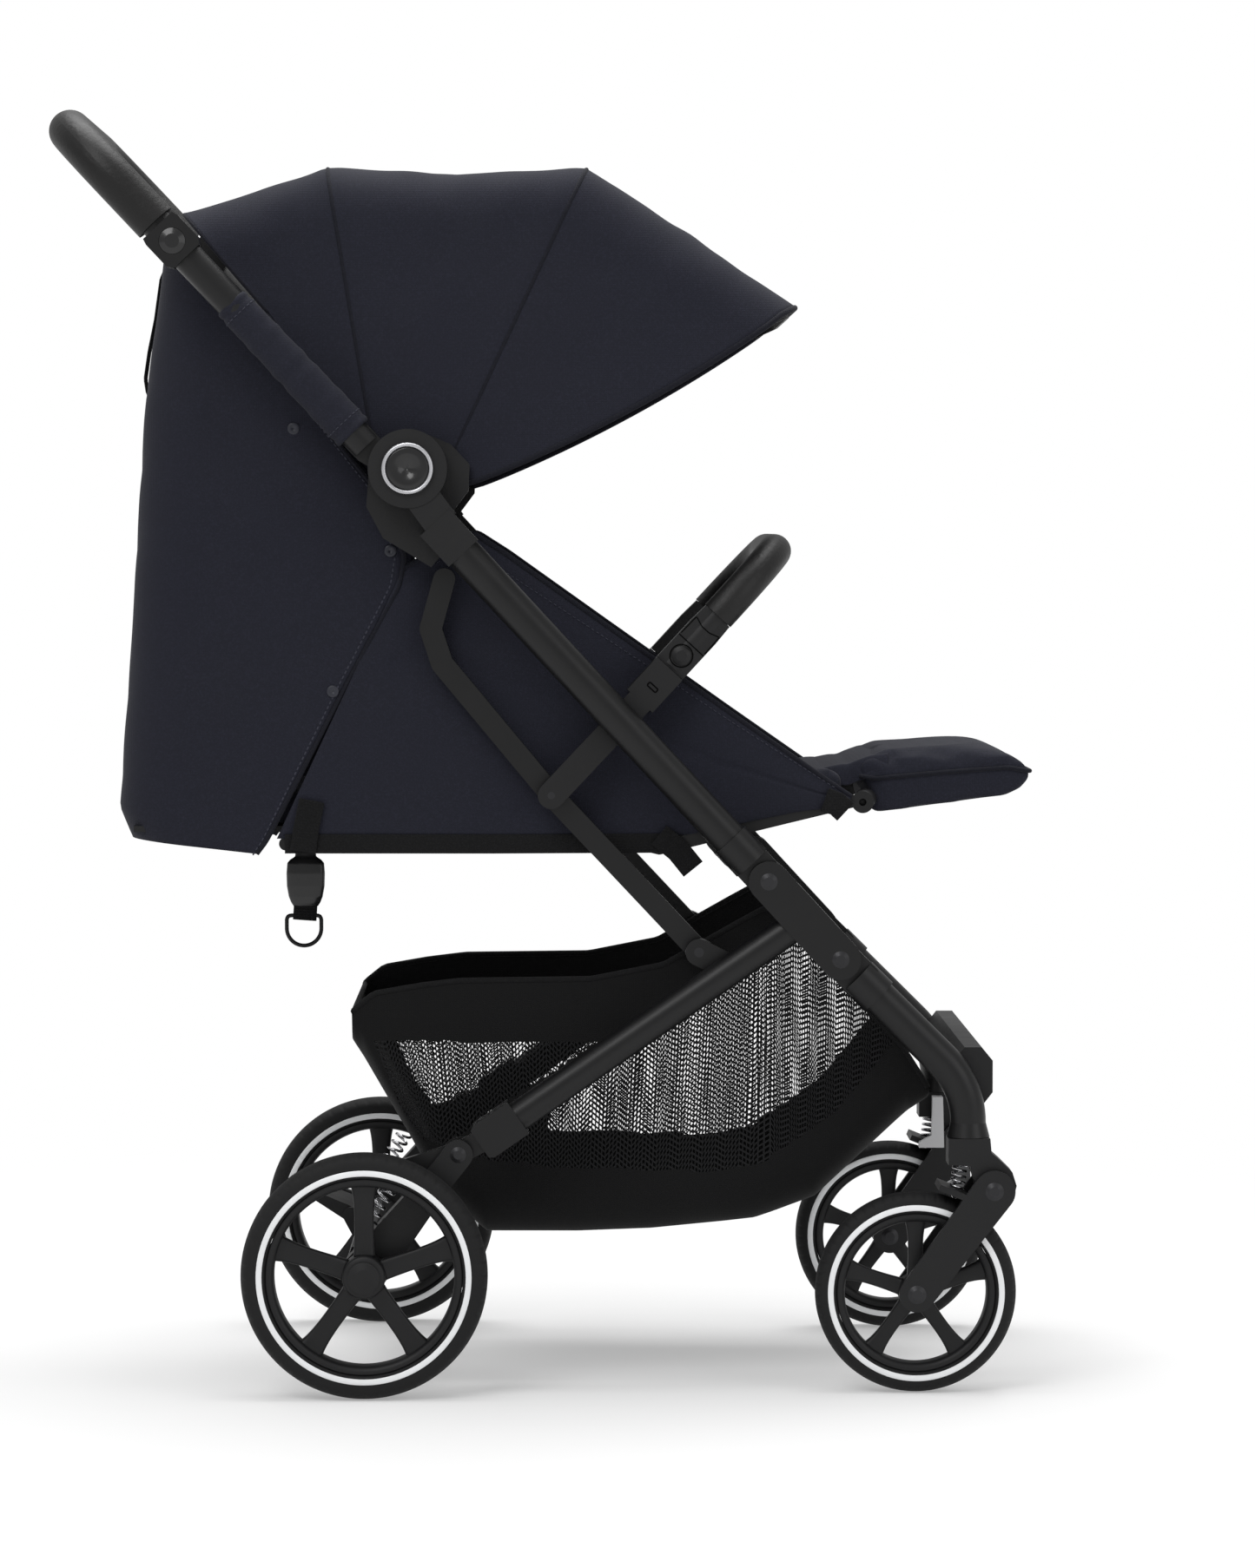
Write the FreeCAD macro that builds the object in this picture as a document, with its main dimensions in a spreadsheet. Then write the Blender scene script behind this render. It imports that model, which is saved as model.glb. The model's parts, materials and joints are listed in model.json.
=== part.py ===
import FreeCAD, Part
import Sketcher
import math
import os
from FreeCAD import Placement, Rotation, Vector

# A folding baby stroller, lying-flat seat, as separate named sub-parts.
# Millimetres. X points forward, Y to the stroller's left, Z up. The floor is Z = 0.

doc = FreeCAD.newDocument("stroller")

# ---------------------------------------------------------------- driving dimensions

SIZES = [
    # pivots and centres in the side plane
    ("rear_axle_x", -144.0), ("rear_axle_z", 100.0),
    ("front_axle_x", 304.7), ("front_axle_z", 82.0),
    ("swivel_x", 347.5), ("swivel_top_z", 208.4),
    ("fork_pivot_x", 367.5), ("fork_pivot_z", 166.1),
    ("carrier_pivot_x", -68.3), ("carrier_pivot_z", 195.7),
    ("upper_pivot_x", 184.2), ("upper_pivot_z", 417.9),
    ("lower_pivot_x", 242.7), ("lower_pivot_z", 354.4),
    ("hub_x", -108.5), ("hub_z", 752.8),
    ("collar_x", -83.8), ("collar_z", 706.3),
    ("link_pivot_x", 128.2), ("link_pivot_z", 358.4),
    ("bracket_x", 63.6), ("bracket_z", 546.2),
    ("seat_pivot_x", 152.4), ("seat_pivot_z", 446.1),
    ("recline_x", 53.7), ("recline_z", 463.7),
    ("calf_x", 263.5), ("calf_z", 479.6),
    ("leg_top_x", 199.7), ("leg_top_z", 377.0),
    ("leg_foot_x", -80.3), ("leg_foot_z", 183.7),
    # layers across the width, measured from the middle plane
    ("frame_y", 185.0), ("frame_half", 14.0), ("rear_wheel_y", 219.0), ("canopy_y", 160.0),
    ("seat_y", 132.0), ("rail_y", 139.5), ("basket_y", 140.5), ("link_y", 153.0),
    # tubes and bars
    ("upper_tube_d", 29.0), ("rear_leg_d", 25.0), ("front_leg_d", 29.0), ("elbow_d", 35.0),
    ("tube_wall", 2.0), ("push_bar_d", 26.0), ("link_w", 18.0), ("link_t", 10.0),
    ("knuckle_w", 33.0), ("tongue_t", 16.0), ("pin_d", 8.0), ("rivet_head_d", 14.0),
    # handle
    ("handle_angle", 133.3), ("handle_reach", 391.0), ("handle_offset", 12.0),
    ("handle_bend", 62.0), ("grip_d", 35.0), ("grip_start", 284.0), ("button_at", 263.0),
    ("button_d", 21.0), ("sleeve_start", 50.0), ("sleeve_end", 196.0),
    # hub
    ("hub_r", 32.0), ("hub_disc_r", 21.0), ("hub_pin_d", 10.0),
    # wheels
    ("rear_wheel_r", 100.0), ("rear_tyre_w", 32.0), ("rear_rim_r", 80.0),
    ("front_wheel_r", 82.0), ("front_tyre_w", 28.0), ("front_rim_r", 65.0),
    ("spoke_w", 11.0), ("axle_d", 8.0), ("fit", 0.05), ("fork_arm_t", 6.0),
    # canopy
    ("rib_t", 3.0), ("rib_w", 9.0), ("cloth_t", 2.0),
    # seat
    ("calf_w", 226.0), ("bumper_d", 24.0),
    ("bumper_y", 156.0), ("bumper_reach", 190.0),
]

sheet = doc.addObject("Spreadsheet::Sheet", "Sizes")
for row, (alias, number) in enumerate(SIZES, 1):
    sheet.set("A%d" % row, alias)
    sheet.set("B%d" % row, repr(number))
    sheet.setAlias("B%d" % row, alias)
doc.recompute()


class Dim:
    """A size read from the sheet, together with the expression that binds it."""

    def __init__(self, value, text):
        self.value = float(value)
        self.text = text

    def _join(self, other, sign, value):
        right = other.text if isinstance(other, Dim) else repr(float(other))
        return Dim(value, "(%s %s %s)" % (self.text, sign, right))

    def __add__(self, other):
        return self._join(other, "+", self.value + float(other))

    def __sub__(self, other):
        return self._join(other, "-", self.value - float(other))

    def __mul__(self, other):
        return self._join(other, "*", self.value * float(other))

    def __truediv__(self, other):
        return self._join(other, "/", self.value / float(other))

    def __neg__(self):
        return Dim(-self.value, "(0 - %s)" % self.text)

    def __float__(self):
        return self.value


def size(alias):
    return Dim(sheet.get(alias), "Sizes." + alias)


def num(alias):
    return float(sheet.get(alias))


def spot(name):
    """Side-plane point (x, z) of a named centre."""
    return (num(name + "_x"), num(name + "_z"))


def as_dim(value):
    return value if isinstance(value, Dim) else Dim(value, repr(float(value)))


def bind(obj, prop, value):
    value = as_dim(value)
    if prop.count(".") == 0:
        setattr(obj, prop, value.value)
    obj.setExpression(prop, value.text)


# ---------------------------------------------------------------- outlines in a plane

def toward(start, end, distance, aside=0.0):
    """Point at a distance from start along the way to end, moved aside to the left."""
    dx = end[0] - start[0]
    dz = end[1] - start[1]
    length = math.hypot(dx, dz)
    ux = dx / length
    uz = dz / length
    return (start[0] + ux * distance - uz * aside, start[1] + uz * distance + ux * aside)


def polar(centre, angle, radius):
    a = math.radians(angle)
    return (centre[0] + radius * math.cos(a), centre[1] + radius * math.sin(a))


def polygon(points):
    """Closed loop of straight edges."""
    loop = []
    for i, p in enumerate(points):
        q = points[(i + 1) % len(points)]
        loop.append(Part.LineSegment(Vector(p[0], p[1], 0), Vector(q[0], q[1], 0)))
    return loop


def circle(centre, radius):
    return [Part.Circle(Vector(centre[0], centre[1], 0), Vector(0, 0, 1), float(radius))]


def taper(start, end, start_r, end_r):
    """Loop around two circles of different size joined by their outer tangents."""
    dx = end[0] - start[0]
    dz = end[1] - start[1]
    heading = math.degrees(math.atan2(dz, dx))
    lean = math.degrees(math.acos((start_r - end_r) / math.hypot(dx, dz)))
    a = polar(start, heading + lean, start_r)
    b = polar(end, heading + lean, end_r)
    c = polar(end, heading - lean, end_r)
    d = polar(start, heading - lean, start_r)
    tip = polar(end, heading, end_r)
    tail = polar(start, heading + 180, start_r)
    flat = [Vector(p[0], p[1], 0) for p in (a, b, c, d, tip, tail)]
    return [Part.LineSegment(flat[0], flat[1]), Part.Arc(flat[1], flat[4], flat[2]),
            Part.LineSegment(flat[2], flat[3]), Part.Arc(flat[3], flat[5], flat[0])]


def band(points, half_width):
    """Loop around a bent centre line, round at both ends."""
    if len(points) == 2:
        return taper(points[0], points[1], half_width, half_width)
    wire = Part.makePolygon([Vector(x, z, 0) for x, z in points])
    ring = wire.makeOffset2D(half_width, 0, False, False)
    loop = []
    for edge in ring.Edges:
        if isinstance(edge.Curve, Part.Circle):
            loop.append(Part.ArcOfCircle(edge.Curve, edge.FirstParameter, edge.LastParameter))
        else:
            ends = [v.Point for v in edge.Vertexes]
            loop.append(Part.LineSegment(ends[0], ends[1]))
    return loop


# ---------------------------------------------------------------- building blocks

def plane(body, role):
    return next(f for f in body.Origin.OriginFeatures if f.Role == role)


def new_body(name):
    return doc.addObject("PartDesign::Body", name)


def sketch_on(body, name, role, loops, offset=0.0):
    sketch = body.newObject("Sketcher::SketchObject", name)
    sketch.AttachmentSupport = (plane(body, role), [""])
    sketch.MapMode = "FlatFace"
    bind(sketch, "AttachmentOffset.Base.z", offset)
    for loop in loops:
        sketch.addGeometry(loop, False)
    return sketch


def side_pad(body, name, loops, y_low, y_high):
    """Pad of a side outline that fills the layer between two distances along Y."""
    y_low = as_dim(y_low)
    y_high = as_dim(y_high)
    sketch = sketch_on(body, name + "_sketch", "XZ_Plane", loops, -y_high)
    pad = body.newObject("PartDesign::Pad", name)
    pad.Profile = sketch
    bind(pad, "Length", y_high - y_low)
    return pad


def side_pocket(body, name, loops, y_low, y_high):
    """Pocket of a side outline through the layer between two distances along Y."""
    y_low = as_dim(y_low)
    y_high = as_dim(y_high)
    sketch = sketch_on(body, name + "_sketch", "XZ_Plane", loops, -y_low)
    doc.recompute()
    before = body.Shape.Volume
    pocket = body.newObject("PartDesign::Pocket", name)
    pocket.Profile = sketch
    bind(pocket, "Length", y_high - y_low)
    doc.recompute()
    if body.Shape.Volume > before * 0.999999:
        pocket.Reversed = True
        doc.recompute()
    return pocket


def side_plate(name, loops, y_low, y_high):
    """Body made of one flat plate."""
    body = new_body(name)
    side_pad(body, name + "_pad", loops, y_low, y_high)
    return body


def rod(name, radius, centre, y_low, y_high):
    """Round rod that lies along Y."""
    y_low = as_dim(y_low)
    part = doc.addObject("Part::Cylinder", name)
    bind(part, "Radius", radius)
    bind(part, "Height", as_dim(y_high) - y_low)
    part.Placement = Placement(Vector(centre[0], y_low.value, centre[1]), Rotation(Vector(1, 0, 0), -90))
    bind(part, "Placement.Base.y", y_low)
    return part


def bar(name, radius, start, end, y_middle):
    """Round bar in the frame's layer between two side-plane points."""
    run = Vector(end[0] - start[0], 0, end[1] - start[1])
    part = doc.addObject("Part::Cylinder", name)
    bind(part, "Radius", radius)
    part.Height = run.Length
    part.Placement = Placement(Vector(start[0], float(y_middle), start[1]), Rotation(Vector(0, 0, 1), run))
    bind(part, "Placement.Base.y", y_middle)
    return part


def dome(name, radius, centre, y_at, outward=1):
    """Low round rivet head standing on the plane y_at."""
    part = doc.addObject("Part::Cone", name)
    bind(part, "Radius1", radius)
    bind(part, "Radius2", as_dim(radius) * 0.55)
    part.Height = 2.0
    part.Placement = Placement(Vector(centre[0], float(y_at), centre[1]),
                               Rotation(Vector(1, 0, 0), -90 * outward))
    bind(part, "Placement.Base.y", y_at)
    return part


def fuse(name, parts):
    joined = doc.addObject("Part::MultiFuse", name)
    joined.Shapes = parts
    joined.Refine = True
    return joined


def cut(name, base, tool):
    left = doc.addObject("Part::Cut", name)
    left.Base = base
    left.Tool = tool
    return left


def group(name, parts):
    """Several loose solids that make one sub-part."""
    joined = doc.addObject("Part::Compound", name)
    joined.Links = parts
    return joined


def mirror(name, source):
    """Copy on the other side of the middle plane."""
    twin = doc.addObject("Part::Mirroring", name)
    twin.Source = source
    twin.Normal = Vector(0, 1, 0)
    return twin


NODES = {}


def node(label, obj):
    obj.Label = label
    NODES[label] = obj
    return obj


def both_sides(label, left):
    """One sub-part from a left-hand piece and its twin."""
    return node(label, group(label + "_pair", [left, mirror(label + "_twin", left)]))


def left_and_right(label, left):
    """Two sub-parts from a left-hand piece and its twin."""
    node(label + "_left", left)
    node(label + "_right", mirror(label + "_mirrored", left))
    return left


frame_y = size("frame_y")
half = size("frame_half")
outer_y = frame_y + half
inner_y = frame_y - half
fit = size("fit")

# ---------------------------------------------------------------- knuckles and rear legs

upper_pivot = spot("upper_pivot")
lower_pivot = spot("lower_pivot")
pin_r = size("pin_d") / 2
cheek_gap = size("tongue_t") / 2 + 0.3
knuckle_half = num("knuckle_w") / 2
pivot_span = math.dist(upper_pivot, lower_pivot)

knuckle = new_body("knuckle")
side_pad(knuckle, "knuckle_cheek_out", [band([upper_pivot, lower_pivot], knuckle_half),
         circle(upper_pivot, pin_r), circle(lower_pivot, pin_r)], frame_y + cheek_gap, outer_y)
web = [toward(upper_pivot, lower_pivot, d, a) for d, a in
       ((17.5, -knuckle_half), (pivot_span - 17.5, -knuckle_half),
        (pivot_span - 17.5, knuckle_half), (17.5, knuckle_half))]
side_pad(knuckle, "knuckle_web", [polygon(web)], inner_y, outer_y)
side_pad(knuckle, "knuckle_cheek_in", [band([upper_pivot, lower_pivot], knuckle_half),
         circle(upper_pivot, pin_r), circle(lower_pivot, pin_r)], inner_y, frame_y - cheek_gap)
both_sides("knuckles", knuckle)

leg_top = spot("leg_top")
leg_foot = spot("leg_foot")
rear_leg_r = size("rear_leg_d") / 2
leg_outer = bar("rear_leg_bar", rear_leg_r, toward(leg_foot, leg_top, 44),
                toward(leg_foot, leg_top, math.dist(leg_foot, leg_top) + 8),
                frame_y)
leg_inner = bar("rear_leg_bore", rear_leg_r - size("tube_wall"), toward(leg_foot, leg_top, 60),
                toward(leg_foot, leg_top, math.dist(leg_foot, leg_top) - 40), frame_y)
leg_room = bar("rear_leg_room", rear_leg_r + 0.1, toward(leg_foot, leg_top, 43.9),
               toward(leg_foot, leg_top, math.dist(leg_foot, leg_top) + 8), frame_y)
leg_hollow = cut("rear_leg_hollow", leg_outer, leg_inner)
both_sides("rear_legs", cut("rear_leg", leg_hollow, knuckle))

# link pivot bracket standing on the rear leg
link_pivot = spot("link_pivot")
link_y = size("link_y")
link_in = link_y - size("link_t") / 2
link_out = link_y + size("link_t") / 2
seat_on_leg = toward(leg_foot, leg_top, (link_pivot[0] - leg_foot[0] + 26) / math.cos(math.radians(34.6)))
link_bracket = new_body("link_bracket")
side_pad(link_bracket, "link_bracket_plate", [band([link_pivot, seat_on_leg], 11),
         circle(link_pivot, pin_r)], link_out + 0.4, inner_y + 1.2)
side_pad(link_bracket, "link_bracket_foot", [band([toward(seat_on_leg, leg_foot, 14),
         toward(seat_on_leg, leg_top, 14)], 11)], inner_y + 1.2, frame_y - 4)
link_foot = cut("link_bracket_seated", link_bracket, leg_room)

pins = []
for tag, centre in (("upper", upper_pivot), ("lower", lower_pivot)):
    pins.append(fuse("knuckle_pin_" + tag, [
        rod("knuckle_pin_rod_" + tag, pin_r, centre, inner_y, outer_y),
        dome("knuckle_pin_head_" + tag, size("rivet_head_d") / 2, centre, outer_y),
        dome("knuckle_pin_tail_" + tag, size("rivet_head_d") / 2, centre, inner_y, -1)]))
pins.append(fuse("link_pin", [rod("link_pin_rod", pin_r, link_pivot, link_in, inner_y + 1.2),
                              dome("link_pin_head", pin_r + 2.5, link_pivot, link_in, -1)]))

# ---------------------------------------------------------------- rear end: collars, carrier, axle

rear_axle = spot("rear_axle")
carrier_pivot = spot("carrier_pivot")
axle_r = size("axle_d") / 2

collar = new_body("rear_collar")
side_pad(collar, "rear_collar_sleeve", [polygon([toward(leg_foot, leg_top, d, a) for d, a in
         ((36, -13), (40, -15.5), (74, -15.5), (74, 15.5), (40, 15.5), (36, 13))])], inner_y, outer_y)
finger_end = toward(carrier_pivot, rear_axle, 40, -27)
side_pad(collar, "rear_collar_tongue", [band([toward(leg_foot, leg_top, 44), carrier_pivot, finger_end], 9)],
         frame_y - 5, frame_y + 5)
side_pocket(collar, "rear_collar_bore", [circle(carrier_pivot, pin_r * 0.75)], inner_y, outer_y)
collar_seated = cut("rear_collar_seated", collar, leg_room)
brackets = [link_foot, collar_seated]

carrier = new_body("rear_carrier")
arm_start = toward(carrier_pivot, rear_axle, 34)
side_pad(carrier, "carrier_boss", [taper(rear_axle, arm_start, 18, 12), circle(rear_axle, axle_r)],
         inner_y, outer_y)
cheek = [band([carrier_pivot, toward(carrier_pivot, rear_axle, 40)], 12),
         circle(carrier_pivot, pin_r * 0.75 + fit)]
side_pad(carrier, "carrier_cheek_out", cheek, frame_y + 5.3, outer_y)
side_pad(carrier, "carrier_cheek_in", cheek, inner_y, frame_y - 5.3)
side_pocket(carrier, "carrier_slot", [band([carrier_pivot, toward(carrier_pivot, rear_axle, 30)], 15)],
            frame_y - 5.3, frame_y + 5.3)

carrier_pin = fuse("carrier_pin", [
    rod("carrier_pin_rod", pin_r * 0.75, carrier_pivot, inner_y - 1, outer_y + 1),
    dome("carrier_pin_head", 6.5, carrier_pivot, outer_y + 0.2),
    dome("carrier_pin_tail", 6.5, carrier_pivot, inner_y - 0.2, -1)])
pins.append(carrier_pin)
pins += [mirror("pin_twin_%d" % i, p) for i, p in enumerate(list(pins))]
node("frame_pins", group("frame_pins", pins))

wheel_out = size("rear_wheel_y") + size("rear_tyre_w") / 2
rear_rod = rod("rear_axle_rod", axle_r, rear_axle, -(wheel_out + 1), wheel_out + 1)
beam = new_body("axle_beam")
side_pad(beam, "axle_beam_pad", [polygon([(rear_axle[0] + x, rear_axle[1] + z) for x, z in
         ((-13, -9), (9, -13), (15, -4), (15, 10), (4, 19), (-12, 17), (-16, 6))]),
         circle(rear_axle, axle_r)], -inner_y, inner_y)
node("rear_carrier", fuse("rear_carrier_whole", [carrier, mirror("rear_carrier_twin", carrier), beam]))

pedal_pivot = (rear_axle[0] - 17, rear_axle[1] + 27)
pedal = new_body("brake_pedal")
pedal_tip = (rear_axle[0] - 47, rear_axle[1] + 43)
side_pad(pedal, "pedal_plate", [taper(toward(pedal_pivot, pedal_tip, 1), pedal_tip, 6.5, 3.5),
         circle(pedal_pivot, 2.5 + float(fit))], -38, 38)
node("brake_pedal", pedal)
pedal_ear = new_body("pedal_ear")
side_pad(pedal_ear, "pedal_ear_plate", [band([pedal_pivot, (rear_axle[0] - 9, rear_axle[1] + 12)], 7),
         circle(pedal_pivot, 2.5)], 38.3, 44)
ear = cut("pedal_ear_seated", pedal_ear, beam)
pedal_rod = rod("pedal_rod", 2.5, pedal_pivot, -44, 44)
node("pedal_hinge", group("pedal_hinge", [ear, mirror("pedal_ear_twin", ear), pedal_rod]))


def coil(name, radius, wire_r, start, end, y_at, turns):
    """Round-wire compression spring between two side-plane points."""
    run = Vector(end[0] - start[0], 0, end[1] - start[1])
    pitch = run.Length / turns
    helix = Part.makeHelix(pitch, run.Length, radius)
    profile = Part.Wire(Part.makeCircle(wire_r, Vector(radius, 0, 0), Vector(0, 1, 0)))
    shape = Part.Wire(helix.Edges).makePipeShell([profile], True, True)
    part = doc.addObject("Part::Feature", name)
    part.Shape = shape
    part.Placement = Placement(Vector(start[0], float(y_at), start[1]), Rotation(Vector(0, 0, 1), run))
    return part


spring_foot = toward(carrier_pivot, rear_axle, 88, -22.6)
spring_head = toward(carrier_pivot, rear_axle, 53, -27)
both_sides("rear_springs", coil("rear_spring", 6.0, 1.2, spring_foot, spring_head, frame_y, 5))

# ---------------------------------------------------------------- wheels


def wheel(prefix, centre, wheel_r, tyre_w, rim_r, y_at, hub_half, cap_r):
    """Tyre and five-spoked rim on an axle along Y, for the left side."""
    tyre = new_body(prefix + "_tyre")
    w = float(tyre_w) / 2
    out = float(wheel_r)
    rim = float(rim_r)
    section = [(rim, -w * 0.82), (rim + 3.5, -w * 0.98), (out - 7, -w), (out - 2.2, -w * 0.72),
               (out, -w * 0.3), (out, w * 0.3), (out - 2.2, w * 0.72), (out - 7, w),
               (rim + 3.5, w * 0.98), (rim, w * 0.82)]
    sketch = sketch_on(tyre, prefix + "_tyre_section", "YZ_Plane", [polygon([(a, r) for r, a in section])])
    spin = tyre.newObject("PartDesign::Revolution", prefix + "_tyre_ring")
    spin.Profile = sketch
    spin.ReferenceAxis = (sketch, ["H_Axis"])
    spin.Angle = 360
    tyre.Placement = Placement(Vector(centre[0], float(y_at), centre[1]), Rotation())
    bind(tyre, "Placement.Base.y", y_at)

    wheel_body = new_body(prefix + "_rim")
    bore = float(axle_r) + float(fit)
    hub_out = cap_r
    depth = w * 0.8
    loops = [circle((0, 0), rim - 0.15), circle((0, 0), rim - 7)]
    side_pad(wheel_body, prefix + "_rim_band", loops, -depth, depth)
    side_pad(wheel_body, prefix + "_rim_hub", [circle((0, 0), hub_out), circle((0, 0), bore)],
             -float(hub_half), float(hub_half))
    web_half = float(size("spoke_w")) / 2
    spoke = [(-web_half - 1.5, hub_out * 0.8), (web_half + 1.5, hub_out * 0.8),
             (web_half, rim - 5), (-web_half, rim - 5)]
    pad = side_pad(wheel_body, prefix + "_spoke", [polygon(spoke)], -depth * 0.45, depth * 0.45)
    ring = wheel_body.newObject("PartDesign::PolarPattern", prefix + "_spokes")
    ring.Originals = [pad]
    ring.Axis = (plane(wheel_body, "Y_Axis"), [""])
    ring.Angle = 360
    ring.Occurrences = 5
    wheel_body.Tip = ring
    wheel_body.Placement = Placement(Vector(centre[0], float(y_at), centre[1]), Rotation())
    bind(wheel_body, "Placement.Base.y", y_at)
    left_and_right(prefix + "_tyre", tyre)
    left_and_right(prefix + "_rim", wheel_body)


wheel("rear", rear_axle, size("rear_wheel_r"), size("rear_tyre_w"), size("rear_rim_r"),
      size("rear_wheel_y"), size("rear_tyre_w") / 2, 14.5)
front_axle = spot("front_axle")
wheel("front", front_axle, size("front_wheel_r"), size("front_tyre_w"), size("front_rim_r"),
      frame_y, size("front_tyre_w") / 2 + 2.5, 12.0)

rear_cap = fuse("wheel_cap", [
    rod("wheel_cap_plate", 13.0, rear_axle, wheel_out + 0.3, wheel_out + 2.6),
    dome("wheel_cap_dome", 13.0, rear_axle, wheel_out + 2.6)])
node("rear_axle", fuse("rear_axle_capped", [rear_rod, rear_cap, mirror("wheel_cap_twin", rear_cap)]))

# ---------------------------------------------------------------- front legs


def pipe(name, path_role, path, profile_role, profile_at, profile_offset, outer_r, inner_r):
    """Round tube swept along a planar path."""
    body = new_body(name)
    loops = [circle(profile_at, outer_r)]
    if inner_r:
        loops.append(circle(profile_at, inner_r))
    profile = sketch_on(body, name + "_section", profile_role, loops, profile_offset)
    route = sketch_on(body, name + "_route", path_role, [path])
    doc.recompute()
    sweep = body.newObject("PartDesign::AdditivePipe", name + "_sweep")
    sweep.Profile = profile
    sweep.Spine = (route, ["Edge%d" % (i + 1) for i in range(len(path))])
    return body


def tongue(name, pivot, end, start_r, y_mid, thick, reach, bore):
    """Flat end lug, round about its pivot, with a bore."""
    body = new_body(name)
    side_pad(body, name + "_pad", [band([pivot, toward(pivot, end, reach)], start_r), circle(pivot, bore)],
             y_mid - thick / 2, y_mid + thick / 2)
    return body


swivel_x = num("swivel_x")
leg_r = size("front_leg_d") / 2
lean = math.atan2(lower_pivot[1] - 250.3, swivel_x - lower_pivot[0])
corner = (swivel_x, lower_pivot[1] - (swivel_x - lower_pivot[0]) * math.tan(lean))
tangent = 30.0
bend_in = toward(corner, lower_pivot, tangent)
bend_out = (swivel_x, corner[1] - tangent)
turn = math.pi / 2 - lean
bend_r = tangent / math.tan(turn / 2)
bend_centre = (swivel_x - bend_r, bend_out[1])
bend_mid = polar(bend_centre, math.degrees(turn) / 2, bend_r)
leg_start = toward(lower_pivot, corner, 20)
elbow_bottom = (swivel_x, num("swivel_top_z") + 0.4)
leg_straight = bar("front_leg_bar", leg_r, leg_start, bend_in, frame_y)
elbow_path = [Part.Arc(Vector(bend_out[0], bend_out[1], 0), Vector(bend_mid[0], bend_mid[1], 0),
                       Vector(bend_in[0], bend_in[1], 0))]
elbow = pipe("front_elbow", "XZ_Plane", elbow_path, "XY_Plane", (swivel_x, float(frame_y)),
             bend_out[1], leg_r, 0)
foot_sleeve = doc.addObject("Part::Cone", "front_leg_foot")
bind(foot_sleeve, "Radius1", size("elbow_d") / 2)
bind(foot_sleeve, "Radius2", leg_r)
foot_sleeve.Height = bend_out[1] - elbow_bottom[1]
foot_sleeve.Placement = Placement(Vector(swivel_x, float(frame_y), elbow_bottom[1]), Rotation())
leg_collar = bar("front_leg_collar", size("knuckle_w") / 2, leg_start, toward(lower_pivot, corner, 44),
                 frame_y)
leg_tongue = tongue("front_leg_tongue", lower_pivot, corner, 15.5, frame_y, size("tongue_t"), 24, pin_r + fit)
front_leg = fuse("front_leg", [leg_straight, elbow, foot_sleeve, leg_collar, leg_tongue])
both_sides("front_legs", front_leg)

step_body = new_body("foot_step")
step_at = (353.5, 257.5)
side_pad(step_body, "foot_step_pad", [polygon([(step_at[0] + x, step_at[1] + z) for x, z in
         ((-16, -12), (-8, -23), (8, -23), (15, -14), (15, 12), (6, 23), (-8, 23), (-15, 14))])],
         -(inner_y + 1), inner_y + 1)
front_leg_twin = mirror("front_leg_other", front_leg)
step_one = cut("foot_step_left_cut", step_body, front_leg)
node("foot_step", cut("foot_step_seated", step_one, front_leg_twin))

# ---------------------------------------------------------------- swivel heads and forks

fork_pivot = spot("fork_pivot")
head_top = num("swivel_top_z")
head = new_body("swivel_head")
profile = [(swivel_x - 17, head_top), (swivel_x + 17, head_top), (swivel_x + 18, 197), (swivel_x + 26, 190),
           (swivel_x + 35, 181), (swivel_x + 38.5, 170), (swivel_x + 35.5, 158), (swivel_x + 27, 151),
           (swivel_x + 15, 150), (swivel_x + 6.5, 158), (swivel_x + 5, 172), (swivel_x + 1, 186),
           (swivel_x - 17, 187)]
side_pad(head, "swivel_head_pad", [polygon(profile), circle(fork_pivot, 3.5 + float(fit))],
         frame_y - 16.5, frame_y + 16.5)
left_and_right("swivel_head", head)

fork = new_body("fork")
arm_in = size("front_tyre_w") / 2 + 4
arm_out = arm_in + size("fork_arm_t")
arm = [taper(fork_pivot, front_axle, 17, 14.5), circle(fork_pivot, 3.5),
       circle(front_axle, axle_r)]
side_pad(fork, "fork_arm_out", arm, frame_y + arm_in, frame_y + arm_out)
bridge_in = polar(front_axle, 68, 88)
bridge = [toward(bridge_in, front_axle, -2.5, 9), toward(bridge_in, front_axle, -2.5, -16),
          toward(bridge_in, front_axle, 2.5, -16), toward(bridge_in, front_axle, 2.5, 9)]
side_pad(fork, "fork_bridge", [polygon(bridge)], frame_y - arm_out, frame_y + arm_out)
side_pad(fork, "fork_arm_in", arm, frame_y - arm_out, frame_y - arm_in)
left_and_right("fork", fork)

fork_pin = fuse("fork_pin", [
    rod("fork_pin_rod", 3.5, fork_pivot, frame_y - arm_out, frame_y + arm_out),
    dome("fork_pin_head", 7.5, fork_pivot, frame_y + arm_out),
    dome("fork_pin_tail", 7.5, fork_pivot, frame_y - arm_out, -1)])

axle_pin = fuse("front_axle", [
    rod("front_axle_rod", axle_r, front_axle, frame_y - arm_out, frame_y + arm_out),
    dome("front_axle_head", 7.5, front_axle, frame_y + arm_out),
    dome("front_axle_tail", 7.5, front_axle, frame_y - arm_out, -1)])
left_and_right("fork_pins", group("fork_pins", [fork_pin, axle_pin]))

spring_low = polar(front_axle, 68, 91.2)
spring_high = (swivel_x - 6.5, 185.4)
left_and_right("front_spring", coil("front_spring", 5.2, 1.1, spring_low, spring_high, frame_y, 4))

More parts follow.
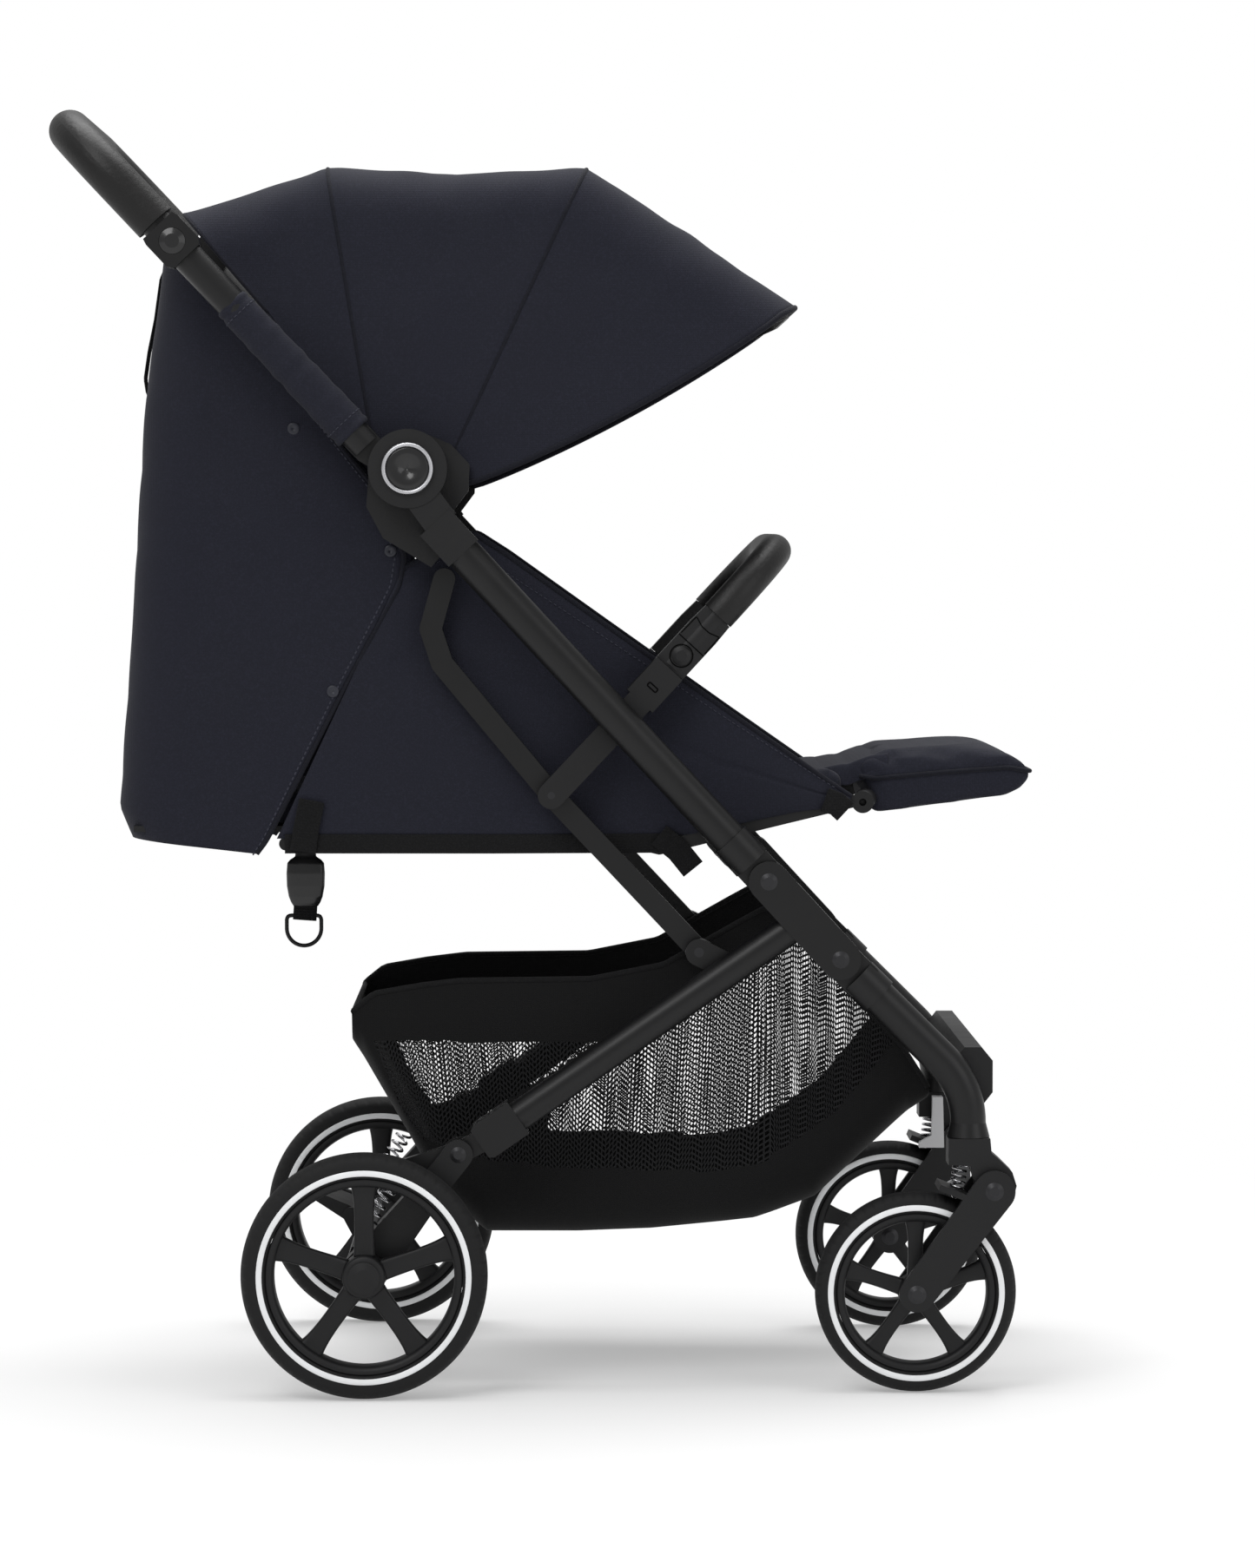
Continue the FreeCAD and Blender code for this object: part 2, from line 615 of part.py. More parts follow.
lock = new_body("swivel_lock")
lock_y = frame_y - arm_out
side_pad(lock, "swivel_lock_bar", [polygon([(swivel_x - 9, 161.5), (swivel_x + 4, 161.5), (swivel_x + 4, 166),
         (swivel_x + 3, 206), (swivel_x - 6, 206), (swivel_x - 7, 172), (swivel_x - 18, 166),
         (swivel_x - 18, 161.5)])], lock_y - 8.5, lock_y - 0.5)
side_pad(lock, "swivel_lock_neck", [polygon([(swivel_x - 6, 189), (swivel_x + 3, 189), (swivel_x + 3, 206),
         (swivel_x - 6, 206)])], lock_y - 0.5, frame_y - 16.8)
left_and_right("swivel_lock", lock)

# ---------------------------------------------------------------- upper frame

collar_top = spot("collar")
hub = spot("hub")
upper_r = size("upper_tube_d") / 2
tube_len = math.dist(upper_pivot, collar_top)
upper_outer = bar("upper_tube_bar", upper_r, toward(upper_pivot, collar_top, 20),
                  toward(upper_pivot, collar_top, tube_len - 30), frame_y)
upper_inner = bar("upper_tube_bore", upper_r - size("tube_wall"), toward(upper_pivot, collar_top, 60),
                  toward(upper_pivot, collar_top, tube_len - 30), frame_y)
upper_collar = bar("upper_tube_collar", size("knuckle_w") / 2, toward(upper_pivot, collar_top, 20),
                   toward(upper_pivot, collar_top, 46), frame_y)
upper_tongue = tongue("upper_tube_tongue", upper_pivot, collar_top, 15.5, frame_y, size("tongue_t"), 24,
                      pin_r + fit)
upper_solid = fuse("upper_tube_solid", [upper_outer, upper_collar, upper_tongue])
both_sides("upper_tubes", cut("upper_tube", upper_solid, upper_inner))

hub_r = size("hub_r")
hub_slot = 5.7
housing = new_body("hub_housing")
neck_end = toward(collar_top, upper_pivot, 30)
neck_box = polygon([toward(neck_end, collar_top, d, a) for d, a in ((0, -16), (34, -16), (34, 16), (0, 16))])
side_pad(housing, "hub_plate_out", [circle(hub, hub_r), circle(hub, size("hub_pin_d") / 2)],
         frame_y + hub_slot, outer_y + 1)
side_pad(housing, "hub_plate_in", [circle(hub, hub_r), circle(hub, size("hub_pin_d") / 2)],
         inner_y - 7, frame_y - hub_slot)
reach_in = toward(collar_top, hub, 24)
side_pad(housing, "hub_neck_out", [polygon([toward(neck_end, reach_in, d, a) for d, a in
         ((30, -14), (58, -14), (58, 14), (30, 14))])], frame_y + hub_slot, outer_y)
side_pad(housing, "hub_neck_in", [polygon([toward(neck_end, reach_in, d, a) for d, a in
         ((30, -14), (58, -14), (58, 14), (30, 14))])], inner_y - 7, frame_y - hub_slot)
side_pad(housing, "hub_collar", [neck_box], inner_y - 0.5, outer_y + 0.5)
lobes = [polar(hub, a, r) for a, r in ((-20, 52), (4, 50), (30, 40), (70, 32), (130, 31), (180, 32),
                                       (222, 46), (250, 60), (283, 82), (300, 70), (318, 50))]
side_pad(housing, "hub_back_plate", [polygon(lobes), circle(hub, size("hub_pin_d") / 2)],
         inner_y - 7, inner_y - 1)
both_sides("hub_housings", housing)

hub_pin = rod("hub_pin", size("hub_pin_d") / 2, hub, inner_y - 26, outer_y + 1)
disc = new_body("hub_disc")
side_pad(disc, "hub_disc_plate", [circle(hub, size("hub_disc_r"))], outer_y + 1, outer_y + 2.4)
side_pad(disc, "hub_disc_ring", [circle(hub, size("hub_disc_r")), circle(hub, size("hub_disc_r") - 3)],
         outer_y + 1, outer_y + 3.4)
both_sides("hub_caps", fuse("hub_cap", [hub_pin, disc]))

seat_pivot = spot("seat_pivot")
rail_y = size("rail_y")
seat_stub = new_body("seat_stub")
side_pad(seat_stub, "seat_stub_block", [band([toward(seat_pivot, collar_top, -8),
                                              toward(seat_pivot, collar_top, 10)],
         13)], inner_y - 8, frame_y - 6)
side_pad(seat_stub, "seat_stub_pin", [circle(seat_pivot, pin_r)], rail_y - 5.5, frame_y - 6)
tube_room = bar("tube_room", upper_r + 0.1, upper_pivot, collar_top, frame_y)
collar_room = bar("collar_room", size("knuckle_w") / 2 + 0.1, toward(upper_pivot, collar_top, 19),
                  toward(upper_pivot, collar_top, 46.2), frame_y)
stub_clear = cut("seat_stub_seated", seat_stub, tube_room)
seat_stubs = cut("seat_stub_clear", stub_clear, collar_room)

# ---------------------------------------------------------------- push bar, grip and buttons

handle_angle = num("handle_angle")
reach = num("handle_reach")
bend = num("handle_bend")
handle_base = polar(hub, handle_angle + 90, num("handle_offset"))
bar_r = size("push_bar_d") / 2
side = float(frame_y)


def hoop_path(start, reach_to, corner_r, half_span):
    """Bridge-shaped route: out along one side, across, and back along the other."""
    diag = corner_r * (1 - math.sqrt(0.5))
    p = [Vector(start, half_span, 0), Vector(reach_to - corner_r, half_span, 0),
         Vector(reach_to - diag, half_span - diag, 0), Vector(reach_to, half_span - corner_r, 0),
         Vector(reach_to, corner_r - half_span, 0), Vector(reach_to - diag, diag - half_span, 0),
         Vector(reach_to - corner_r, -half_span, 0), Vector(start, -half_span, 0)]
    return [Part.LineSegment(p[0], p[1]), Part.Arc(p[1], p[2], p[3]), Part.LineSegment(p[3], p[4]),
            Part.Arc(p[4], p[5], p[6]), Part.LineSegment(p[6], p[7])]


def tilt_body(body, centre, angle):
    body.Placement = Placement(Vector(centre[0], 0, centre[1]), Rotation(Vector(0, 1, 0), -angle))
    return body


push_tube = tilt_body(pipe("push_tube", "XY_Plane", hoop_path(36, reach, bend, side), "YZ_Plane",
                           (side, 0), 36,
                           bar_r, bar_r - size("tube_wall")), handle_base, handle_angle)
bar_lug = new_body("push_bar_lug")
side_pad(bar_lug, "push_bar_lug_disc", [circle(hub, hub_r - 2), circle(hub, size("hub_pin_d") / 2 + fit)],
         frame_y - 5.4, frame_y + 5.4)
side_pad(bar_lug, "push_bar_lug_neck", [polygon([
    polar(polar(handle_base, handle_angle, d), handle_angle + 90, a)
    for d, a in ((20, -9), (32, -12.5), (48, -12.5), (48, 12.5), (32, 12.5), (20, 9))])], frame_y - 5.4,
            frame_y + 5.4)
collar_box = new_body("button_collar")
side_pad(collar_box, "button_collar_pad", [polygon([
    polar(polar(handle_base, handle_angle, num("button_at") + d), handle_angle + 90, a)
    for d, a in ((-17, -14), (-12, -17.5), (12, -17.5), (17, -16), (17, 16), (12, 17.5), (-12, 17.5),
                 (-17, 14))])],
    inner_y - 1, outer_y + 2.5)
button_at = polar(handle_base, handle_angle, num("button_at"))
button_r = size("button_d") / 2
lug_twin = mirror("push_bar_lug_twin", bar_lug)
box_twin = mirror("button_collar_twin", collar_box)
push_solid = fuse("push_bar_solid", [push_tube, bar_lug, lug_twin, collar_box, box_twin])
well = rod("button_well_floor", button_r + 0.3, button_at, outer_y - 2, outer_y + 4)
well_both = group("button_wells", [well, mirror("button_well_twin", well)])
node("push_bar", cut("push_bar", push_solid, well_both))

button = fuse("fold_button", [
    rod("fold_button_body", button_r, button_at, outer_y - 1.9 + 2.5, outer_y + 2.5),
    dome("fold_button_dome", button_r, button_at, outer_y + 2.5)])
left_and_right("fold_button", button)

grip_solid = tilt_body(pipe("grip_sleeve", "XY_Plane", hoop_path(num("grip_start"), reach, bend, side),
                            "YZ_Plane",
                            (side, 0), num("grip_start"), size("grip_d") / 2, bar_r + 0.02),
                       handle_base, handle_angle)
node("grip", grip_solid)

sleeve = new_body("handle_sleeve")
low = num("sleeve_start")
high = num("sleeve_end")
side_pad(sleeve, "handle_sleeve_pad", [polygon([polar(polar(handle_base, handle_angle, d),
                                                      handle_angle + 90, a)
         for d, a in ((low, -17), (high, -15), (high, 15), (low, 17))])], inner_y - 0.6, outer_y + 0.6)
tube_core = bar("handle_sleeve_core", bar_r + 0.3, polar(handle_base, handle_angle, 20),
                polar(handle_base, handle_angle, high + 20), frame_y)
both_sides("handle_sleeves", cut("handle_sleeve_open", sleeve, tube_core))

# ---------------------------------------------------------------- canopy

canopy_y = size("canopy_y")
cloth = size("cloth_t")
rear_top = (-293.9, 962.6)
first_top = (-174.6, 999.5)
second_top = (36.2, 999.5)
rim_tip = (208.8, 884.5)
roof = [rear_top, (-234.7, 979.5), first_top, (-69.7, 991.5), second_top, (124.3, 941), rim_tip]


def inset(points, depth):
    """Roof line moved toward the hub."""
    return [toward(p, hub, depth) for p in points]


hem = [(211.3, 876.0), (92.3, 812), (-24.1, 747.5), (-45.4, 738.4), (-66.7, 738.5)]
flank = [(-70.3, 782.5), (-141.3, 787.6), (-222.7, 880)]
cover = new_body("canopy_cover")
side_pad(cover, "canopy_cover_block", [polygon(roof + hem + flank)], -canopy_y, canopy_y)
hollow = inset(roof, float(cloth))
hollow[0] = (hollow[0][0] - 40, hollow[0][1] - 12)
hollow[-1] = (hollow[-1][0] + 30, hollow[-1][1] - 20)
under = [(158.3, 700), (-51.7, 690), (-231.7, 770), (-391.7, 900)]
side_pocket(cover, "canopy_cover_hollow", [polygon(hollow + under)], -(canopy_y - cloth), canopy_y - cloth)
node("canopy_cover", cover)


def rib(name, tip, y_mid, bore, slack):
    """Flat hoop from hub to hub that carries the canopy cloth."""
    angle = math.degrees(math.atan2(tip[1] - hub[1], tip[0] - hub[0]))
    radius = math.dist(tip, hub) - float(cloth) - slack - num("rib_t") / 2
    body = new_body(name)
    t = num("rib_t") / 2
    w = num("rib_w") / 2
    y_mid = float(y_mid)
    section = sketch_on(body, name + "_section", "YZ_Plane",
                        [polygon([(y_mid - t, -w), (y_mid + t, -w), (y_mid + t, w), (y_mid - t, w)])], 8)
    route = sketch_on(body, name + "_route", "XY_Plane", [hoop_path(8, radius, 40, y_mid)])
    doc.recompute()
    sweep = body.newObject("PartDesign::AdditivePipe", name + "_sweep")
    sweep.Profile = section
    sweep.Spine = (route, ["Edge%d" % (i + 1) for i in range(5)])
    for tag, sign in (("left", 1), ("right", -1)):
        side_pad(body, name + "_eye_" + tag, [circle((0, 0), 10)], sign * y_mid - t, sign * y_mid + t)
    side_pocket(body, name + "_bore", [circle((0, 0), bore)], -y_mid - 5, y_mid + 5)
    return tilt_body(body, hub, angle)


hub_bore = size("hub_pin_d") / 2
layer = canopy_y - cloth - 2.2
node("canopy_rim", rib("canopy_rim", rim_tip, layer, hub_bore + fit, 6.0))
node("canopy_rib_middle", rib("canopy_rib_middle", second_top, layer - 4.5, hub_bore + fit, 4.0))
node("canopy_rib_rear", rib("canopy_rib_rear", first_top, layer - 9, hub_bore + 0.02, 3.0))

curtain = new_body("back_curtain")
edge = [(-311, 931.7), (-316.7, 881), (-325.9, 813.5), (-348.6, 476.3), (-329.4, 452.4)]
front_edge = [(-233.6, 452.4), (-226.5, 456.3), (-116.4, 657.3), (-111.7, 678.6), (-141.7, 728.8),
              (-251.3, 863.2)]
curtain_y = rail_y + 4
side_pad(curtain, "back_curtain_block", [polygon(edge + front_edge)], -curtain_y, curtain_y)
inner_edge = [(x + 2.2, z) for x, z in edge[:4]] + [(-328.4, 440.0)]
side_pocket(curtain, "back_curtain_hollow", [polygon([(-307.7, 960)] + inner_edge + [(-91.7, 430),
        (-51.7, 800)])],
            -(curtain_y - 2), curtain_y - 2)
node("back_curtain", curtain)

strap = new_body("carry_strap")
side_pad(strap, "carry_strap_band", [band([(-312.9, 926), (-321, 915), (-325, 880), (-335, 830),
                                           (-327, 812)], 1.5)],
         -12, 12)
node("carry_strap", cut("carry_strap_seated", strap, curtain))

# ---------------------------------------------------------------- seat

seat_y = size("seat_y")
frame_side = new_body("seat_rail")
rail_line = [(-210.5, 445.7), (81.3, 445.7), (96.3, 442.0), (198.3, 467.0), (254.3, 480.5)]
side_pad(frame_side, "seat_rail_bar", [band(rail_line, 5.5)], rail_y - 5.5, rail_y)
side_pad(frame_side, "seat_rail_recline_ear", [circle(spot("recline"), 13)], rail_y - 5.5, rail_y)
side_pad(frame_side, "seat_rail_pivot_ear", [circle(seat_pivot, 14)], rail_y - 5.5, rail_y)
side_pad(frame_side, "seat_rail_calf_ear", [circle(spot("calf"), 9)], rail_y - 5.5, rail_y)
side_pocket(frame_side, "seat_rail_bores", [circle(spot("recline"), 3 + float(fit)),
                                            circle(seat_pivot, pin_r + fit),
            circle(spot("calf"), 3 + float(fit))], rail_y - 6, rail_y + 1)
cross_rods = [rod("seat_cross_rear", 4.5, (-203.7, 445.7), -(rail_y - 5.5), rail_y - 5.5),
              rod("seat_cross_front", 4.5, (233.3, 476.9), -(rail_y - 5.5), rail_y - 5.5)]
node("seat_frame", fuse("seat_frame", [frame_side, mirror("seat_rail_twin", frame_side)] + cross_rods))

cushion = new_body("seat_cushion")
side_pad(cushion, "seat_cushion_pad", [polygon([(86.3, 452), (100.3, 449), (194.3, 472.5), (236.3, 482.5),
                                                (246.3, 488),
         (248.3, 502), (238.3, 510), (128.3, 487), (90.3, 484), (84.3, 478)])], -seat_y, seat_y)
node("seat_cushion", cushion)

recline = spot("recline")
board = new_body("backrest_board")
side_pad(board, "backrest_board_pad", [polygon([(42.3, 455), (42.3, 460), (-335.7, 460), (-335.7, 455)])],
         -seat_y, seat_y)
board_ear = [band([(38.3, 458), recline], 5)]
for tag, sign in (("left", 1), ("right", -1)):
    ys = sorted((sign * float(seat_y - 5), sign * float(seat_y)))
    side_pad(board, "backrest_ear_" + tag, board_ear, ys[0], ys[1])
pivot_rods = []
for tag, sign in (("left", 1), ("right", -1)):
    ys = sorted((sign * float(seat_y - 5), sign * float(rail_y)))
    pivot_rods.append(rod("recline_pin_" + tag, 3.0, recline, ys[0], ys[1]))
node("backrest_board", fuse("backrest_board", [board] + pivot_rods))
back_pad = new_body("backrest_pad")
side_pad(back_pad, "backrest_pad_block", [polygon([(32.3, 460.3), (35.3, 466), (32.3, 488), (18.3, 492),
                                                   (-313.7, 492),
         (-331.7, 486), (-335.7, 474), (-335.7, 460.3)])], -(seat_y - 1), seat_y - 1)
node("backrest_pad", cut("backrest_pad_clear", back_pad, NODES["backrest_board"]))

wing = new_body("side_wing")
wing_line = [(-113.7, 672), (-55.7, 702), (54.3, 624), (160.3, 549), (254.3, 484), (251.3, 476), (198.3, 470),
             (150, 456), (96.3, 451.8), (-217.7, 451.8)]
side_pad(wing, "side_wing_sheet", [polygon(wing_line)], rail_y + 0.3, rail_y + 1.7)
both_sides("side_wings", wing)

calf = spot("calf")
calf_board = new_body("leg_rest_cushion")
calf_half = size("calf_w") / 2
side_pad(calf_board, "leg_rest_pad", [polygon([(276.3, 466), (386.3, 482), (400.3, 490), (407.3, 501),
                                               (403.3, 512),
         (388.3, 520), (358.3, 525), (264.3, 518), (254.3, 507), (255.3, 496), (270.3, 488), (270.3, 470)])],
         -calf_half, calf_half)
calf_ears = []
for tag, sign in (("left", 1), ("right", -1)):
    ys = sorted((sign * float(calf_half - 0.2), sign * float(rail_y - 5.8)))
    ear_body = side_plate("leg_rest_ear_" + tag, [band([calf, (282.3, 480)], 8)], ys[0], ys[1])
    pin_ys = sorted((sign * float(rail_y - 9), sign * float(rail_y)))
    calf_ears += [ear_body, rod("leg_rest_pin_" + tag, 3.0, calf, pin_ys[0], pin_ys[1])]
node("leg_rest", fuse("leg_rest", [calf_board] + calf_ears))

recliner = new_body("recline_strap")
webbing_line = [(-206, 440.9), (-199, 440.9), (-189, 436), (-187.7, 431), (-197.7, 431)]
puller_line = [(-207, 431), (-183, 431), (-180.5, 406), (-187, 394.5), (-202, 394.5), (-208.5, 406)]
ring_line = [(-194.7, 377), (-194.7, 376)]
side_pad(recliner, "recline_webbing", [polygon(webbing_line)], -12, 12)
side_pad(recliner, "recline_puller", [polygon(puller_line)], -15, 15)
side_pad(recliner, "recline_tail", [band([(-194.7, 395), (-194.7, 388)], 2.5)], -12, 12)
side_pad(recliner, "recline_ring", [band(ring_line, 14.5), band(ring_line, 11)], -2, 2)
node("recline_strap", recliner)

# ---------------------------------------------------------------- link bars and bumper bar

bracket = spot("bracket")
offset_x = link_pivot[0] - upper_pivot[0]
offset_z = link_pivot[1] - upper_pivot[1]
bracket_low = (bracket[0] + offset_x, bracket[1] + offset_z)
link = new_body("link_bar")
link_line = [link_pivot, bracket_low, (-81.5, 594.0), (-90.9, 622.4), (-79.7, 663)]
side_pad(link, "link_bar_pad", [band(link_line, num("link_w") / 2), circle(link_pivot, pin_r + fit),
         circle(bracket_low, 3.0 + 0.1)], link_in, link_out)
both_sides("link_bars", link)

plate_in = link_out + 3
bumper_line = 47.3
bumper_y = size("bumper_y")
socket = new_body("bumper_socket")
side_pad(socket, "bumper_plate", [band([bracket_low, bracket, polar(bracket, bumper_line, 46)], 11),
         circle(bracket, 4 + float(fit)), circle(bracket_low, 3.0)], plate_in + 1.5, inner_y - 0.5)
box = polygon([polar(polar(bracket, bumper_line, d), bumper_line + 90, a)
               for d, a in ((24, -14), (60, -14), (60, 14), (24, 14))])
hole = polygon([polar(polar(bracket, bumper_line, d), bumper_line + 90, a)
                for d, a in ((27, -9), (70, -9), (70, 9), (27, 9))])
side_pad(socket, "bumper_socket_box", [box], bumper_y - 12, inner_y - 0.5)
side_pocket(socket, "bumper_socket_well", [hole], bumper_y - 9, bumper_y + 6)
both_sides("bumper_sockets", socket)

bracket_pin = fuse("bracket_pin", [
    rod("bracket_pin_rod", 4.0, bracket, plate_in - 0.6, frame_y - 10),
    dome("bracket_pin_head", 7.0, bracket, plate_in + 1.2, -1)])
bracket_pin_seated = cut("bracket_pin_seated", bracket_pin, tube_room)
both_sides("upper_pivots", group("upper_pivots", [seat_stubs, bracket_pin_seated]))
both_sides("link_studs", fuse("link_stud", [rod("link_stud_rod", 3.0, bracket_low, link_in, inner_y - 0.5),
                                            dome("link_stud_head", 6.0, bracket_low, link_in - 0.2, -1)]))

bumper_span = float(bumper_y) - 1.5
bumper_tube = tilt_body(pipe("bumper_arch", "XY_Plane", hoop_path(62, num("bumper_reach"), 70, bumper_span),
                             "YZ_Plane", (bumper_span, 0), 62, size("bumper_d") / 2 - 1, 0),
                        bracket, bumper_line)
spigot = side_plate("bumper_spigot", [polygon([polar(polar(bracket, bumper_line, d), bumper_line + 90, a)
                    for d, a in ((28, -8.9), (62, -8.9), (62, 8.9), (28, 8.9))])], bumper_y - 8.9,
                    bumper_y + 5.9)
joint_box = side_plate("bumper_joint_box", [polygon([polar(polar(bracket, bumper_line, d),
                                                           bumper_line + 90, a)
                       for d, a in ((60.3, -14), (100, -14), (118, -13), (118, 13), (100, 14), (60.3, 14))])],
                       bumper_y - 14, bumper_y + 8)
bumper_all = fuse("bumper_bar", [bumper_tube, spigot, mirror("bumper_spigot_twin", spigot), joint_box,
                                 mirror("bumper_joint_twin", joint_box)])
release_at = polar(bracket, bumper_line, 74)
release_well = rod("release_well", 8.2, release_at, bumper_y + 5.5, bumper_y + 14)
node("bumper_bar", cut("bumper_bar", bumper_all,
                       group("release_wells", [release_well, mirror("release_well_twin", release_well)])))
left_and_right("release_button", fuse("release_button", [
    rod("release_button_body", 8.0, release_at, bumper_y + 5.6 + 1.5, bumper_y + 8.8),
    dome("release_button_dome", 8.0, release_at, bumper_y + 8.8)]))
cover_start = 118.3
bumper_cover = tilt_body(pipe("bumper_cover", "XY_Plane",
                              hoop_path(cover_start, num("bumper_reach"), 70, bumper_span), "YZ_Plane",
                              (bumper_span, 0), cover_start, size("bumper_d") / 2 + 2,
                              size("bumper_d") / 2 - 0.98), bracket, bumper_line)
node("bumper_cover", bumper_cover)

# ---------------------------------------------------------------- basket

basket_y = size("basket_y")
wall = float(cloth)
tub_line = [(-107.7, 200.0), (-103.7, 186), (-83.7, 156), (-45.6, 123), (68.3, 123), (175.2, 133.6),
            (204.3, 143.2),
            (204.3, 262)]
tub = new_body("basket_tub")
side_pad(tub, "basket_tub_block", [polygon(tub_line)], -basket_y, basket_y)
tub_hollow = [(-105.7, 206), (-101.5, 187), (-82.1, 157.4), (-44.7, 125), (68.3, 125), (175, 135.7),
              (202.3, 144.6),
              (202.3, 300), (-105.7, 300)]
side_pocket(tub, "basket_tub_hollow", [polygon(tub_hollow)], -(basket_y - wall), basket_y - wall)
node("basket_tub", tub)

upper_line = [(-107.7, 200.4), (-156, 283.2), (-156, 308.1), (-138.2, 322.4), (-67, 333), (39.9, 334.5),
              (100, 346), (160, 380), (182, 392), (190, 392), (228, 352), (296.3, 278), (317.7, 244),
              (317.7, 236), (225.1, 151.4), (204.7, 143.6), (204.7, 262.4)]
upper = new_body("basket_upper")
side_pad(upper, "basket_upper_block", [polygon(upper_line)], -basket_y, basket_y)
upper_hollow = [(-105.1, 198), (-154, 284), (-154, 450), (314.9, 450), (314.9, 236.6), (224.3, 154),
                (205.1, 146.2), (198.3, 120)]
side_pocket(upper, "basket_upper_hollow", [polygon(upper_hollow)], -(basket_y - wall), basket_y - wall)
node("basket_upper", upper)

pegs = []
for tag, x in (("rear", -33.0), ("front", 71.6)):
    z = leg_foot[1] + (x - leg_foot[0]) * (leg_top[1] - leg_foot[1]) / (leg_top[0] - leg_foot[0])
    peg = rod("basket_peg_" + tag, 5.0, (x, z), basket_y + 0.1, frame_y - 6)
    pegs.append(cut("basket_peg_%s_seated" % tag, cut("basket_peg_%s_clear" % tag, peg, leg_room), collar))
brackets += pegs
brackets += [mirror("leg_bracket_twin_%d" % i, p) for i, p in enumerate(list(brackets))]
node("leg_brackets", group("leg_brackets", brackets))

# ---------------------------------------------------------------- check and write

doc.recompute()
faults = [o.Name for o in doc.Objects if "Invalid" in o.State or "Error" in o.State]
for label, obj in NODES.items():
    shape = obj.Shape
    if shape.isNull() or not shape.isValid() or not shape.Solids:
        faults.append(label)
if faults:
    raise RuntimeError("not sound: " + ", ".join(faults))
os.makedirs("parts", exist_ok=True)
for label, obj in NODES.items():
    obj.Shape.exportStep("parts/%s.step" % label)
print("%d sub-parts written" % len(NODES))
for label, obj in NODES.items():
    box = obj.Shape.BoundBox
    print("%-20s %2d solids  x %7.1f %7.1f  y %7.1f %7.1f  z %7.1f %7.1f" % (
        label, len(obj.Shape.Solids), box.XMin, box.XMax, box.YMin, box.YMax, box.ZMin, box.ZMax))
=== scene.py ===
# %% [markdown]
# This scene dresses the stroller. The tubes, brackets, buttons and springs are hard parts that come ready
# made from the fixed frame. The cloth, pads, tyres and trim are new, because a plain solid can't show how
# cloth hangs or how a tyre is grooved. Lengths below are in millimetres, with +X forward, +Y to the
# stroller's left and +Z up.

# %% Load the frame
import json
import math

import bpy
import bmesh
import numpy as np
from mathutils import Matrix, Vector


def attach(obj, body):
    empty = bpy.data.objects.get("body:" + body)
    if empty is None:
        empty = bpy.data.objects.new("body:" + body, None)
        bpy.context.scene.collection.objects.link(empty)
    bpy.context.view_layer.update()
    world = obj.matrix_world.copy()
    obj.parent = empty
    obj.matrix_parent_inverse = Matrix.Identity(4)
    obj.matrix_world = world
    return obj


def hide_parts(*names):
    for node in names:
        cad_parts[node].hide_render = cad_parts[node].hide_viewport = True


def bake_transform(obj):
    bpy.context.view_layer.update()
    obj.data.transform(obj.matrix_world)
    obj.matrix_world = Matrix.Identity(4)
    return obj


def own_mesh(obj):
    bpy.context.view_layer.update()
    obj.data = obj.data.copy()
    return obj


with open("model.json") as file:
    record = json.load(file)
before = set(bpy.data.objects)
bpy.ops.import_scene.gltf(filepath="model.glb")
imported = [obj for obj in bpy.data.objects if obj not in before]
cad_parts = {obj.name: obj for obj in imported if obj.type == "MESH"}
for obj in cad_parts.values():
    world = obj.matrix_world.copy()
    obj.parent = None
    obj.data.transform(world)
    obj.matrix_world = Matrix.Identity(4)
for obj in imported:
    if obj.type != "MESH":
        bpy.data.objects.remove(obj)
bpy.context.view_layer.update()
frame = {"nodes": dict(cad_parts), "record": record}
NODES = frame["nodes"]


# %% [markdown]
# A few places drive the rest. They are the pivots and layers of the frame, so the new pieces land on the
# hard parts that they cover. Each is written once here and used by name below.

# %% Driving places
HUB = np.array([-108.5, 752.8])
HUB_FACE_Y = 203.4
FRAME_Y = 185.0
REAR_AXLE, REAR_WHEEL_Y = (-144.0, 100.0), 219.0
FRONT_AXLE, FRONT_WHEEL_Y = (304.7, 82.0), FRAME_Y
BUMPER_BRACKET = np.array([63.6, 546.2])
CANOPY_HALF, CURTAIN_HALF, BASKET_HALF = 160.0, 142.2, 140.2
RAIL_TAPE_Y, STRAP_Y = 142.7, 145.2
CLOTH_THICK, KNEE_THICK, NET_THICK = 1.4, 1.6, 1.2
MM = 0.001
RIGHT_THEN_LEFT = (-1, 1)
print("wheelbase:", round(FRONT_AXLE[0] - REAR_AXLE[0], 1), "mm")


def side_name(sign):
    """Which side a sign of Y stands for: +Y is the stroller's left."""
    return "left" if sign > 0 else "right"


# %% [markdown]
# Every piece is a grid of points turned into quads. A grid that closes on itself makes a tube, and a middle
# point on the first and last rings closes its ends. Sheets get their thickness from a solidify step.
# Modelling by hand or with curve objects would work too, but a grid keeps the whole shape in a formula that
# is easy to change.


# %% Small helpers
def placed(name, mesh):
    """A new object that shows the mesh, at the origin."""
    piece = bpy.data.objects.new(name, mesh)
    bpy.context.scene.collection.objects.link(piece)
    return piece


def wear(mesh, material):
    """Gives the whole mesh one finish."""
    mesh.materials.clear()
    mesh.materials.append(material)


def shade_smooth(mesh):
    """Lets the light run smoothly over every face."""
    mesh.polygons.foreach_set("use_smooth", np.ones(len(mesh.polygons), bool))


def points_of(mesh):
    """The mesh's points as an array of (x, y, z) rows, in metres."""
    flat = np.zeros(len(mesh.vertices) * 3)
    mesh.vertices.foreach_get("co", flat)
    return flat.reshape(-1, 3)


